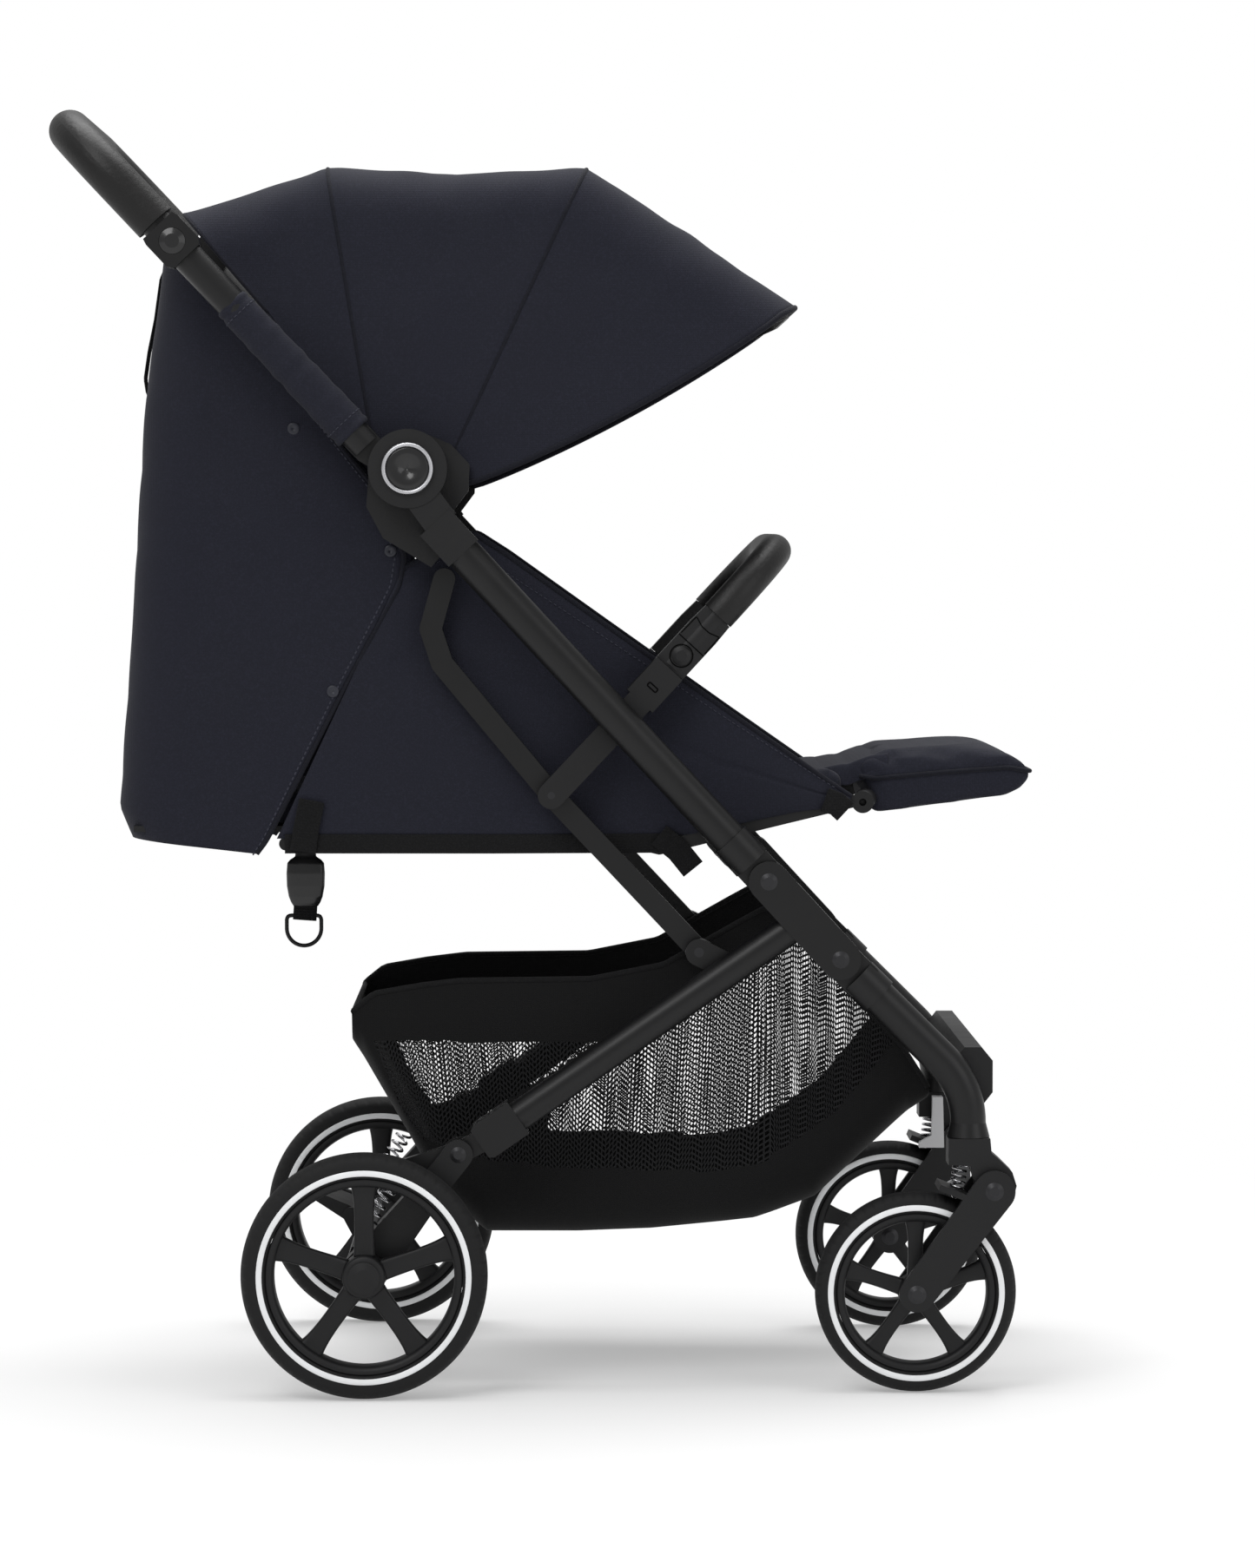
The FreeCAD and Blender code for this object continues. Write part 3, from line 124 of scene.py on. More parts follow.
def full_turn(count):
    """Even angles round a circle, the last one left open."""
    return np.linspace(0, 2 * math.pi, count, endpoint=False)


def soft_box(count, power_across, power_up):
    """Section between an oval and a box: sign(cos a) |cos a| ^ p across and sign(sin a) |sin a| ^ q up."""
    cos, sin = np.cos(full_turn(count)), np.sin(full_turn(count))
    return np.sign(cos) * np.abs(cos) ** power_across, np.sign(sin) * np.abs(sin) ** power_up


# %% Surfaces from grids
def surface(name, grid, material, ring=False, ends=False, thick=0.0, inward=False, uv=None):
    """Quads between neighbours of grid[i, j] = (x, y, z); ring joins the last column to the first."""
    rows, cols = grid.shape[:2]
    points = grid.reshape(-1, 3) * MM
    i, j = np.meshgrid(np.arange(rows - 1), np.arange(cols if ring else cols - 1), indexing="ij")
    k = (j + 1) % cols
    quads = np.stack([i * cols + j, i * cols + k, (i + 1) * cols + k, (i + 1) * cols + j], -1).reshape(-1, 4)
    faces = [tuple(q) for q in quads.tolist()]
    if ends:
        first = len(points)
        points = np.vstack([points, grid[0].mean(0) * MM, grid[-1].mean(0) * MM])
        around = np.arange(cols)
        after = (around + 1) % cols
        base = (rows - 1) * cols
        faces += [(first, b, a) for a, b in zip(around.tolist(), after.tolist())]
        faces += [(first + 1, base + a, base + b) for a, b in zip(around.tolist(), after.tolist())]
    mesh = bpy.data.meshes.new(name)
    mesh.from_pydata(points.tolist(), [], faces)
    shade_smooth(mesh)
    if uv is not None:
        layer = mesh.uv_layers.new(name="cut")
        index = np.zeros(len(mesh.loops), np.int32)
        mesh.loops.foreach_get("vertex_index", index)
        layer.data.foreach_set("uv", uv.reshape(-1, 2)[index].astype(np.float32).ravel())
    if ring and ends:
        outward(mesh)
    mesh.materials.append(material)
    piece = placed(name, mesh)
    if thick:
        thicken(piece, thick, -1.0 if inward else 1.0)
    return piece


def thicken(piece, thick, offset):
    """Gives an open sheet a wall on one side: offset 1 is along its normals and -1 is against them."""
    wall = piece.modifiers.new("thickness", "SOLIDIFY")
    wall.thickness = thick * MM
    wall.offset = offset
    settle(piece)


def outward(mesh):
    """Turns every face of a closed mesh to face out."""
    work = bmesh.new()
    work.from_mesh(mesh)
    bmesh.ops.recalc_face_normals(work, faces=work.faces)
    work.to_mesh(mesh)
    work.free()


def settle(piece):
    """Applies the piece's modifiers to its mesh."""
    depsgraph = bpy.context.evaluated_depsgraph_get()
    made = bpy.data.meshes.new_from_object(piece.evaluated_get(depsgraph))
    old = piece.data
    piece.modifiers.clear()
    piece.data = made
    bpy.data.meshes.remove(old)
    outward(piece.data)


def read_table(table, count):
    """Rows of numbers, led by their parameter, read at count even steps with straight runs between."""
    table = np.array(table, float)
    steps = np.linspace(table[0, 0], table[-1, 0], count)
    return steps, np.stack([np.interp(steps, table[:, 0], table[:, c]) for c in range(1, table.shape[1])], -1)


def resample(path, spacing):
    """A line of points read at even distances along itself."""
    path = np.array(path, float)
    run = np.concatenate([[0], np.cumsum(np.linalg.norm(np.diff(path, axis=0), axis=1))])
    count = max(2, int(run[-1] / spacing) + 1)
    at = np.linspace(0, run[-1], count)
    return np.stack([np.interp(at, run, path[:, c]) for c in range(3)], -1)


def frames_along(path):
    """Unit tangent, side and up at each point of a line; side is as level as it can be."""
    tangent = np.gradient(path, axis=0)
    tangent /= np.linalg.norm(tangent, axis=1, keepdims=True)
    guide = np.array([0.0, 0.0, 1.0])
    if np.abs(tangent @ guide).max() > 0.95:
        guide = np.array([0.0, 1.0, 0.0])
    if np.abs(tangent @ guide).max() > 0.95:
        guide = np.array([1.0, 0.0, 0.0])
    side = np.cross(tangent, guide)
    side /= np.linalg.norm(side, axis=1, keepdims=True)
    return tangent, side, np.cross(side, tangent)


def tube(name, path, radius, material, sides=8, spacing=4.0):
    """Ring of radius r about each point of the path: p + r (cos a side + sin a up)."""
    line = resample(path, spacing)
    _, side, up = frames_along(line)
    angle = full_turn(sides)
    ring = np.cos(angle)[None, :, None] * side[:, None, :] + np.sin(angle)[None, :, None] * up[:, None, :]
    return surface(name, line[:, None, :] + radius * ring, material, ring=True, ends=True)


MERGE_DISTANCE = 1e-6


def turned(name, section, centre, material, steps=96, bump=None):
    """Section (r, y) swung about the Y line through centre: (r cos a, y, r sin a)."""
    section = np.array(section, float)
    angle = full_turn(steps)
    r = np.repeat(section[:, 0][:, None], steps, 1)
    y = np.repeat(section[:, 1][:, None], steps, 1)
    if bump is not None:
        r = r + bump(angle[None, :], section[:, 1][:, None], r)
    grid = np.stack([centre[0] + r * np.cos(angle), centre[1] + y, centre[2] + r * np.sin(angle)], -1)
    grid = np.concatenate([grid, grid[:1]], 0)
    piece = surface(name, grid, material, ring=True)
    work = bmesh.new()
    work.from_mesh(piece.data)
    bmesh.ops.remove_doubles(work, verts=work.verts, dist=MERGE_DISTANCE)
    work.to_mesh(piece.data)
    work.free()
    outward(piece.data)
    return piece


def joined(name, pieces):
    """Several meshes as one object, with their materials kept."""
    work = bmesh.new()
    mesh = bpy.data.meshes.new(name)
    slots = []
    for piece in pieces:
        for material in piece.data.materials:
            if material not in slots:
                slots.append(material)
        shift = [slots.index(m) for m in piece.data.materials]
        index = np.zeros(len(piece.data.polygons), np.int32)
        piece.data.polygons.foreach_get("material_index", index)
        piece.data.polygons.foreach_set("material_index", np.array(shift, np.int32)[index])
        work.from_mesh(piece.data)
    work.to_mesh(mesh)
    work.free()
    for material in slots:
        mesh.materials.append(material)
    for piece in pieces:
        old = piece.data
        bpy.data.objects.remove(piece)
        bpy.data.meshes.remove(old)
    return placed(name, mesh)


def mirrored(name, piece):
    """A twin of the piece on the other side of the middle plane."""
    mesh = piece.data.copy()
    mesh.vertices.foreach_set("co", (points_of(mesh) * [1, -1, 1]).ravel())
    mesh.flip_normals()
    return placed(name, mesh)


STITCH_STEP, STITCH_LENGTH, STITCH_WIDE, STITCH_HIGH = 4.6, 3.0, 0.7, 0.5
STITCH_SIDES = 6


def stitches(name, path):
    """Short flat dashes along a line: a six-sided bead at each even step, thinner at its two ends."""
    line = resample(path, STITCH_STEP)
    tangent, side, up = frames_along(line)
    places = np.array([-0.5, -0.36, 0.36, 0.5]) * STITCH_LENGTH
    fullness = np.array([0.35, 1.0, 1.0, 0.35])
    angle = full_turn(STITCH_SIDES)
    ring = (np.cos(angle)[None, None, :, None] * side[:, None, None, :] * STITCH_WIDE
            + np.sin(angle)[None, None, :, None] * up[:, None, None, :] * STITCH_HIGH)
    grid = (line[:, None, None, :] + places[None, :, None, None] * tangent[:, None, None, :]
            + ring * fullness[None, :, None, None])
    n = STITCH_SIDES
    i, j = np.meshgrid(np.arange(len(places) - 1), np.arange(n), indexing="ij")
    k = (j + 1) % n
    walls = np.stack([i * n + j, i * n + k, (i + 1) * n + k, (i + 1) * n + j], -1).reshape(-1, 4)
    lids = np.array([[0, 1, 2, 3], [0, 3, 4, 5], [18, 21, 20, 19], [18, 23, 22, 21]])
    first_point = (np.arange(len(line)) * n * len(places))[:, None, None]
    faces = np.vstack([(part[None] + first_point).reshape(-1, 4) for part in (walls, lids)])
    mesh = bpy.data.meshes.new(name)
    mesh.from_pydata((grid.reshape(-1, 3) * MM).tolist(), [], faces.tolist())
    shade_smooth(mesh)
    outward(mesh)
    mesh.materials.append(thread)
    return placed(name, mesh)


# %% [markdown]
# Each finish is a small network of nodes: a wide noise shifts the colour and the roughness a little, and a
# fine one gives the surface its grain. A flat colour would look like a toy, because real paint and moulded
# plastic are never quite even. Image textures would do it too, but a noise in object coordinates needs no
# unwrapping.


# %% Finishes
def noise_on(tree, place, scale, detail):
    """Noise read at the object's own coordinates."""
    noise = tree.nodes.new("ShaderNodeTexNoise")
    noise.inputs["Scale"].default_value = scale
    noise.inputs["Detail"].default_value = detail
    tree.links.new(place.outputs["Object"], noise.inputs["Vector"])
    return noise


def node_of(tree, kind, number=0):
    """The node of this kind that was made first, or as the number says."""
    return [n for n in tree.nodes if n.type == kind][number]


def finish(name, colour, rough, metal=0.0, grain=900.0, height=0.05, vary=0.25, spread=25.0, sheen=0.0,
           coat=0.0, specular=0.3):
    """Principled surface whose colour is colour x (1 +- vary noise) with a noise bump of the given grain."""
    material = bpy.data.materials.new(name)
    material.use_nodes = True
    tree = material.node_tree
    shader = tree.nodes["Principled BSDF"]
    shader.inputs["Metallic"].default_value = metal
    if sheen:
        shader.inputs["Sheen Weight"].default_value = sheen
        shader.inputs["Sheen Roughness"].default_value = 0.5
    if coat:
        shader.inputs["Coat Weight"].default_value = coat
        shader.inputs["Coat Roughness"].default_value = 0.12
    place = tree.nodes.new("ShaderNodeTexCoord")
    wide = noise_on(tree, place, spread, 6.0)
    mix = tree.nodes.new("ShaderNodeMix")
    mix.data_type = "RGBA"
    mix.inputs["A"].default_value = [c * (1 - vary) for c in colour] + [1]
    mix.inputs["B"].default_value = [min(1, c * (1 + vary)) for c in colour] + [1]
    tree.links.new(wide.outputs["Fac"], mix.inputs["Factor"])
    tree.links.new(mix.outputs["Result"], shader.inputs["Base Color"])
    shader.inputs["Specular IOR Level"].default_value = specular
    shine = tree.nodes.new("ShaderNodeMapRange")
    shine.inputs["To Min"].default_value = max(0.02, rough - 0.06)
    shine.inputs["To Max"].default_value = min(1.0, rough + 0.06)
    tree.links.new(wide.outputs["Fac"], shine.inputs["Value"])
    tree.links.new(shine.outputs["Result"], shader.inputs["Roughness"])
    fine = noise_on(tree, place, grain, 3.0)
    relief = tree.nodes.new("ShaderNodeBump")
    relief.inputs["Strength"].default_value = 0.6
    relief.inputs["Distance"].default_value = height * MM
    tree.links.new(fine.outputs["Fac"], relief.inputs["Height"])
    tree.links.new(relief.outputs["Normal"], shader.inputs["Normal"])
    return material


WAVE_SCALE = 314.0


def woven(name, colour, light, pitch, height=0.25, melange=0.4):
    """Cloth: two crossed bands of threads raise the surface, and flecks of a lighter yarn mix in."""
    material = finish(name, colour, 0.9, grain=1500.0, height=0.05, vary=0.1, spread=8.0, sheen=0.03,
                      specular=0.22)
    tree = material.node_tree
    shader = tree.nodes["Principled BSDF"]
    place, mix, relief = node_of(tree, "TEX_COORD"), node_of(tree, "MIX"), node_of(tree, "BUMP")
    flecks = noise_on(tree, place, 620.0, 2.0)
    ramp = tree.nodes.new("ShaderNodeMapRange")
    ramp.inputs["From Min"].default_value = 0.45
    ramp.inputs["From Max"].default_value = 0.75
    ramp.inputs["To Max"].default_value = melange
    tree.links.new(flecks.outputs["Fac"], ramp.inputs["Value"])
    yarn = tree.nodes.new("ShaderNodeMix")
    yarn.data_type = "RGBA"
    tree.links.new(ramp.outputs["Result"], yarn.inputs["Factor"])
    tree.links.new(mix.outputs["Result"], yarn.inputs["A"])
    yarn.inputs["B"].default_value = list(light) + [1]
    tree.links.new(yarn.outputs["Result"], shader.inputs["Base Color"])
    higher = tree.nodes.new("ShaderNodeMath")
    higher.operation = "MAXIMUM"
    for direction, socket in zip(("X", "Z"), higher.inputs):
        wave = tree.nodes.new("ShaderNodeTexWave")
        wave.bands_direction = direction
        wave.inputs["Scale"].default_value = WAVE_SCALE / pitch
        tree.links.new(place.outputs["Object"], wave.inputs["Vector"])
        tree.links.new(wave.outputs["Fac"], socket)
    tree.links.new(higher.outputs["Value"], relief.inputs["Height"])
    relief.inputs["Distance"].default_value = height * MM
    return material


frame_paint = finish("frame_paint", (0.0045, 0.0045, 0.0048), 0.38, grain=700, height=0.04, spread=30)
moulded = finish("moulded_plastic", (0.0055, 0.0055, 0.006), 0.5, grain=1100, height=0.12, spread=40)
glossy = finish("gloss_plastic", (0.005, 0.005, 0.0055), 0.3, grain=300, height=0.01, coat=0.4)
bright = finish("bright_steel", (0.62, 0.62, 0.64), 0.22, metal=1.0, grain=400, height=0.02, vary=0.08)
rivet_metal = finish("dark_rivets", (0.03, 0.03, 0.032), 0.4, metal=0.6, grain=400, height=0.02, vary=0.15)
rubber = finish("tyre_rubber", (0.0062, 0.0062, 0.0065), 0.75, grain=500, height=0.3, spread=60)
pale = finish("pale_plastic", (0.52, 0.52, 0.53), 0.5, grain=900, height=0.05, vary=0.06)
silver = finish("satin_silver", (0.48, 0.48, 0.5), 0.38, metal=0.9, grain=900, height=0.03, vary=0.08)
reflective = finish("reflective_band", (0.78, 0.79, 0.80), 0.55, grain=800, height=0.06, vary=0.1)
leather = finish("grip_leather", (0.005, 0.0048, 0.0048), 0.48, grain=260, height=0.55, vary=0.3, spread=90)
NAVY, NAVY_FLECK = (0.0098, 0.0104, 0.0172), (0.022, 0.023, 0.038)
navy = woven("navy_cloth", NAVY, NAVY_FLECK, pitch=1.5, melange=0.35)
navy_pad = woven("navy_pad_cloth", NAVY, NAVY_FLECK, pitch=1.2)
webbing = woven("black_webbing", (0.0035, 0.0035, 0.0038), (0.012, 0.012, 0.013), pitch=2.2, height=0.4)
thread = finish("sewing_thread", (0.026, 0.027, 0.040), 0.7, grain=1500, height=0.05)
# Painted shade: a near-black, almost unshiny finish for the beads that stand in for the shadow in the
# bumper's moulding gaps.
painted_gap_shade = finish("seam_shadow", (0.0012, 0.0012, 0.0012), 0.8, grain=500, height=0.02, specular=0.05)
snap = finish("cloth_snap", (0.019, 0.020, 0.028), 0.4, grain=500, height=0.03)
piping = woven("piping_cloth", (0.0050, 0.0053, 0.0095), (0.014, 0.0145, 0.021), pitch=1.2)
print("plain and woven finishes:", len(bpy.data.materials))

# %% [markdown]
# The basket's sides are an open knit with slanted rows of small holes. Cutting thousands of holes into the
# mesh would make it far too heavy, so the cloth is one sheet and its material turns clear where a hole is.
# The sheet carries how far each point lies inside the open panel, and the holes are drawn only there.

# %% Basket net
ZIGZAG, ROW_PITCH, ROW_OPEN = 0.011, 0.0046, 0.62
RIB_PITCH, RIB_SHARE, NET_PALER = 0.0031, 0.3, 0.5


def basket_net():
    """Black cloth with open herringbone panels: two slanted rows of slots cut between solid bands."""
    material = woven("basket_cloth", (0.003, 0.003, 0.0032), (0.011, 0.011, 0.012), pitch=1.6)
    tree = material.node_tree
    shader = tree.nodes["Principled BSDF"]
    out = node_of(tree, "OUTPUT_MATERIAL")
    cut = tree.nodes.new("ShaderNodeUVMap")
    cut.uv_map = "cut"
    parts = tree.nodes.new("ShaderNodeSeparateXYZ")
    tree.links.new(cut.outputs["UV"], parts.inputs["Vector"])
    panel = tree.nodes.new("ShaderNodeAttribute")
    panel.attribute_name = "open_panel"

    def maths(kind, a, b=0.0):
        node = tree.nodes.new("ShaderNodeMath")
        node.operation = kind
        for socket, value in zip(node.inputs, (a, b)):
            if isinstance(value, (int, float)):
                socket.default_value = value
            else:
                tree.links.new(value, socket)
        return node.outputs["Value"]

    along, down = parts.outputs["X"], parts.outputs["Y"]
    row = maths("PINGPONG", along, ZIGZAG)
    slot = maths("LESS_THAN", maths("FRACT", maths("DIVIDE", maths("ADD", row, down), ROW_PITCH)), ROW_OPEN)
    rib = maths("GREATER_THAN", maths("FRACT", maths("DIVIDE", along, RIB_PITCH)), RIB_SHARE)
    inside = maths("GREATER_THAN", panel.outputs["Fac"], 0.0)
    tree.links.new(maths("MULTIPLY", inside, NET_PALER), node_of(tree, "MIX", 1).inputs["Factor"])
    hole = maths("MULTIPLY", maths("MULTIPLY", slot, rib), inside)
    clear = tree.nodes.new("ShaderNodeBsdfTransparent")
    blend = tree.nodes.new("ShaderNodeMixShader")
    tree.links.new(hole, blend.inputs["Fac"])
    tree.links.new(shader.outputs["BSDF"], blend.inputs[1])
    tree.links.new(clear.outputs["BSDF"], blend.inputs[2])
    tree.links.new(blend.outputs["Shader"], out.inputs["Surface"])
    return material


net = basket_net()

# %% [markdown]
# Every hard part says in its record which material it is made of. That name picks the finish, so a part
# that is added to the frame later gets its finish without a change here. Rivets and the axle are picked out
# one by one.

# %% Finishes of the frame's parts
SHARES = {"frame_black": frame_paint, "plastic_black": moulded, "gloss_black": glossy, "steel": bright,
          "tyre": rubber, "grey_plastic": pale, "grip_leather": leather, "navy_fabric": navy,
          "black_fabric": webbing}
for part in frame["record"]["subparts"]:
    wear(NODES[part["node"]].data, SHARES[part["material_slot"]])
for node in ("frame_pins", "fork_pins_left", "fork_pins_right", "link_studs"):
    NODES[node].data.materials[0] = rivet_metal
NODES["rear_axle"].data.materials[0] = moulded
print("finishes:", len(bpy.data.materials))

# %% [markdown]
# The canopy, the back curtain and the basket share one form. Each cross section starts at a lower point
# near the pivot, rises to a high point, turns a rounded corner and crosses to the other side. A cloth
# simulation could drape them, but the hoops and the sewn seams hold the real cloth so tight that a formula
# with a slight sag comes closer.


# %% Hooped cloth
def hooped(low, high, half, corner, up_steps, turn_steps, across_steps, bow=None, pinch=None):
    """Points low + (high - low) h / H at width y, with (y, h) running round a box with rounded corners."""
    rows = len(low)
    rise = np.linalg.norm(high - low, axis=1)
    r = np.minimum(corner, rise * 0.8)[:, None]
    straight = np.linspace(0, 1, up_steps)[None, :]
    bend = np.linspace(0, math.pi / 2, turn_steps)[None, 1:]
    flat = np.linspace(-1, 1, across_steps)[None, 1:-1]
    tall = rise[:, None]
    y_side = np.full((rows, up_steps), -half)
    h_side = (tall - r) * straight
    y_turn = -(half - r) - r * np.cos(bend)
    h_turn = (tall - r) + r * np.sin(bend)
    y_top = (half - r) * flat
    h_top = np.repeat(tall, across_steps - 2, 1)
    y = np.concatenate([y_side, y_turn, y_top, -y_turn[:, ::-1], -y_side[:, ::-1]], 1)
    h = np.concatenate([h_side, h_turn, h_top, h_turn[:, ::-1], h_side[:, ::-1]], 1)
    share = h / tall
    if bow is not None:
        y = y * (1 - bow[:, None] * np.clip(share, 0, 1))
    if pinch is not None:
        share = share - pinch[:, None] * share ** 2 * (0.6 + 0.4 * np.cos(y / half * math.pi / 2))
    x = low[:, :1] + (high - low)[:, :1] * share
    z = low[:, 1:] + (high - low)[:, 1:] * share
    return np.stack([x, y, z], -1), share


def ripple(grid, size, seed, scale=(38.0, 47.0, 53.0)):
    """Slow smooth waves: size x the mean of four sines of x, y and z with set phases."""
    rng = np.random.default_rng(seed)
    total = np.zeros(grid.shape[:2])
    for _ in range(4):
        turn = rng.normal(size=3)
        turn /= np.linalg.norm(turn)
        total += np.sin(grid @ (turn / rng.choice(scale)) * 2 * math.pi * 0.5 + rng.uniform(0, 6.28))
    return total / 4 * size


def swell(grid, amount):
    """Moves each point along the sheet's own normal, found from its neighbours, by amount."""
    du = np.gradient(grid, axis=0)
    dv = np.gradient(grid, axis=1)
    normal = np.cross(du, dv)
    normal /= np.maximum(np.linalg.norm(normal, axis=2, keepdims=True), 1e-9)
    return grid + normal * amount[..., None]


# %% [markdown]
# The canopy is one cloth pulled tight over sewn-in hoops, from the middle of the back to the front rim.
# Between two hoops it sags a little, and at each hoop a seam presses a fine groove into it. It is one grid,
# not a row of panels, so the light runs over it without a break.

# %% Canopy
CANOPY_ROWS = 141
CANOPY_SEAMS = (0.36, 0.72)
CANOPY_THREADS = (0.975, 0.345, 0.375, 0.705, 0.735)


def canopy():
    """One sheet from the rear edge over two sewn-in hoops to the front rim, with a dip in its front hem."""
    table = [(0.00, -222.7, 880.0, -292.9, 961.6), (0.18, -181.0, 822.0, -234.7, 979.8),
             (0.36, -137.3, 771.6, -174.6, 1000.0), (0.54, -105.0, 768.5, -69.7, 996.0),
             (0.72, -72.3, 765.5, 36.2, 1000.0), (0.86, -67.0, 752.0, 124.3, 944.5),
             (1.00, -61.7, 741.0, 207.8, 885.4)]
    s, values = read_table(table, CANOPY_ROWS)
    low, high = values[:, :2], values[:, 2:]
    held = np.array([0.0, *CANOPY_SEAMS, 1.0])
    nearest = np.abs(s[:, None] - held[None]).min(1)
    sag = 1 - np.exp(-nearest / 0.055)
    grid, share = hooped(low, high, CANOPY_HALF, 42.0, 30, 12, 44, bow=0.03 * sag, pinch=0.010 * sag)
    front = np.clip((s - 0.9) / 0.1, 0, 1) ** 2
    drop = 10.0 * front[:, None] * np.sin(np.clip(share / 0.95, 0, 1) * math.pi) ** 0.7
    grid[..., 0] += drop * 0.42
    grid[..., 2] -= drop * 0.9
    fan = np.clip(share, 0, 1) * sag[:, None]
    grid = swell(grid, -(ripple(grid, 2.2, 5) + 0.6 * ripple(grid, 1.6, 9, (17.0, 21.0))) * fan)
    everywhere = np.ones(grid.shape[:2])
    for seam in CANOPY_SEAMS:
        grid = swell(grid, -1.3 * np.exp(-((s - seam) / 0.012) ** 2)[:, None] * everywhere)
    raised = swell(grid, 0.5 * everywhere)
    last = CANOPY_ROWS - 1
    seam_lines = [tube("canopy_seam_%d" % n, raised[int(round(seam * last))], 1.9, piping, spacing=3.0)
                  for n, seam in enumerate(CANOPY_SEAMS)]
    uv = np.stack([np.repeat(s[:, None], grid.shape[1], 1), share], -1)
    sheet = surface("canopy_sheet", grid, navy, thick=CLOTH_THICK, inward=True, uv=uv)
    hem = tube("canopy_hem", grid[-1], 2.6, piping, sides=10, spacing=3.0)
    back = tube("canopy_back_edge", grid[0], 1.6, piping)
    rows = [stitches("canopy_thread_%d" % n, grid[int(round(at * last))])
            for n, at in enumerate(CANOPY_THREADS)]
    whole = joined("canopy", [sheet, hem, back] + seam_lines + rows)
    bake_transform(whole)
    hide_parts("canopy_cover")


canopy()


# %% [markdown]
# Behind the seat a second cloth hangs from the canopy's rear edge down to the seat frame. It is a piece
# apart from the canopy, since on the real stroller it moves with the seat when the stroller folds; here it
# is not tied to the seat. Snaps hold its side edge to the seat wings.

# %% Back curtain
SNAP_PLACES = ((-203.0, 786.0), (-124.0, 686.0), (-171.4, 571.0))
SNAP_SECTION = [(0.01, 0), (3.6, 0), (5.3, 0.9), (4.6, 1.8), (2.8, 1.5), (0.01, 1.6)]


def back_curtain():
    """The cloth that hangs from the canopy's rear edge behind the seat, open at the front."""
    table = [(0.00, -247.0, 868.2, -311.0, 931.7), (0.10, -220.0, 838.0, -314.5, 900.0),
             (0.30, -134.7, 734.8, -325.9, 813.5), (0.42, -112.5, 681.0, -332.0, 720.0),
             (0.50, -116.4, 657.3, -336.0, 662.0), (0.70, -160.0, 577.0, -341.5, 580.0),
             (0.95, -226.0, 448.0, -349.0, 475.0), (1.00, -234.0, 437.5, -339.0, 449.5)]
    s, values = read_table(table, 90)
    grid, share = hooped(values[:, :2], values[:, 2:], CURTAIN_HALF, 46.0, 24, 10, 36)
    ease = np.sin(math.pi * np.clip(s, 0, 1))[:, None] ** 0.5
    grid = swell(grid, -np.abs(ripple(grid, 2.6, 21)) * ease * (share > 0.02))
    sheet = surface("curtain_sheet", grid, navy, thick=CLOTH_THICK, inward=True)
    edges = [tube("curtain_edge_%d" % n, grid[:, c], 1.8, piping, spacing=5.0) for n, c in enumerate((0, -1))]
    threads = [stitches("curtain_thread_%d" % n, grid[:, c]) for n, c in enumerate((1, -2))]
    studs = []
    for x, z in SNAP_PLACES:
        for sign in RIGHT_THEN_LEFT:
            section = [(r, sign * (y + CURTAIN_HALF)) for r, y in SNAP_SECTION]
            studs.append(turned("curtain_stud", section, (x, 0, z), snap, 24))
    whole = joined("back_curtain_cloth", [sheet] + edges + threads + studs)
    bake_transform(whole)
    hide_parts("back_curtain")


back_curtain()


# %% [markdown]
# Each side of the seat is a thin padded wing with a piped top edge. Only its outer face bulges, since the
# inner one lies against the seat. The second wing is a mirrored copy, as the stroller is the same on both
# sides.

# %% Seat wings
WING_ROWS, WING_COLUMNS = 110, 40
WING_OUTER_Y, WING_PIPING_Y, WING_INNER_Y = 141.4, 140.8, 139.8
WING_SEAM_ENDS, WING_SEAM_COLUMN = 7, 37


def seat_wing():
    """The padded side of the seat: a slightly bulging sheet from the seat edge up to a piped top edge."""
    table = [(0.00, -217.7, 450.0, -113.7, 672.0), (0.12, -165.0, 450.0, -56.7, 701.0),
             (0.20, -120.0, 450.0, -30.0, 684.0), (0.45, 0.0, 450.0, 54.3, 624.0),
             (0.72, 120.0, 453.0, 160.3, 549.0), (0.90, 208.0, 471.5, 232.0, 499.0),
             (1.00, 250.3, 476.5, 254.3, 484.0)]
    s, values = read_table(table, WING_ROWS)
    low, high = values[:, None, :2], values[:, None, 2:]
    t = np.linspace(0, 1, WING_COLUMNS)[None, :, None]
    plan = low + (high - low) * t
    puff = 2.6 * np.sin(math.pi * np.clip(t[..., 0], 0, 1)) ** 0.5 * np.ones((WING_ROWS, 1))
    dimple = 1.5 * np.exp(-((t[..., 0] - 0.62) / 0.02) ** 2) * (s[:, None] > 0.06) * (s[:, None] < 0.94)
    outer = np.stack([plan[..., 0], -(WING_OUTER_Y + puff - dimple), plan[..., 1]], -1)
    outer[..., 1] -= ripple(outer, 0.8, 33, (31.0, 43.0)) * np.sin(math.pi * t[..., 0])
    inner = outer.copy()
    inner[..., 1] = -WING_INNER_Y
    loop = np.concatenate([outer, inner[:, ::-1]], 1)
    panel = surface("wing_panel", loop, navy, ring=True, ends=True)
    top = outer[:, -1].copy()
    top[:, 1] = -WING_PIPING_Y
    bead = tube("wing_piping", top, 2.3, piping, sides=10, spacing=3.0)
    seam = outer[WING_SEAM_ENDS:-WING_SEAM_ENDS, WING_SEAM_COLUMN].copy()
    seam[:, 1] -= 0.3
    row = stitches("wing_thread", seam)
    near = joined("seat_wing_right", [panel, bead, row])
    far = mirrored("seat_wing_left", near)
    for wing in (near, far):
        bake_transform(wing)
    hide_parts("side_wings")
    print("wing faces:", len(near.data.polygons))


seat_wing()

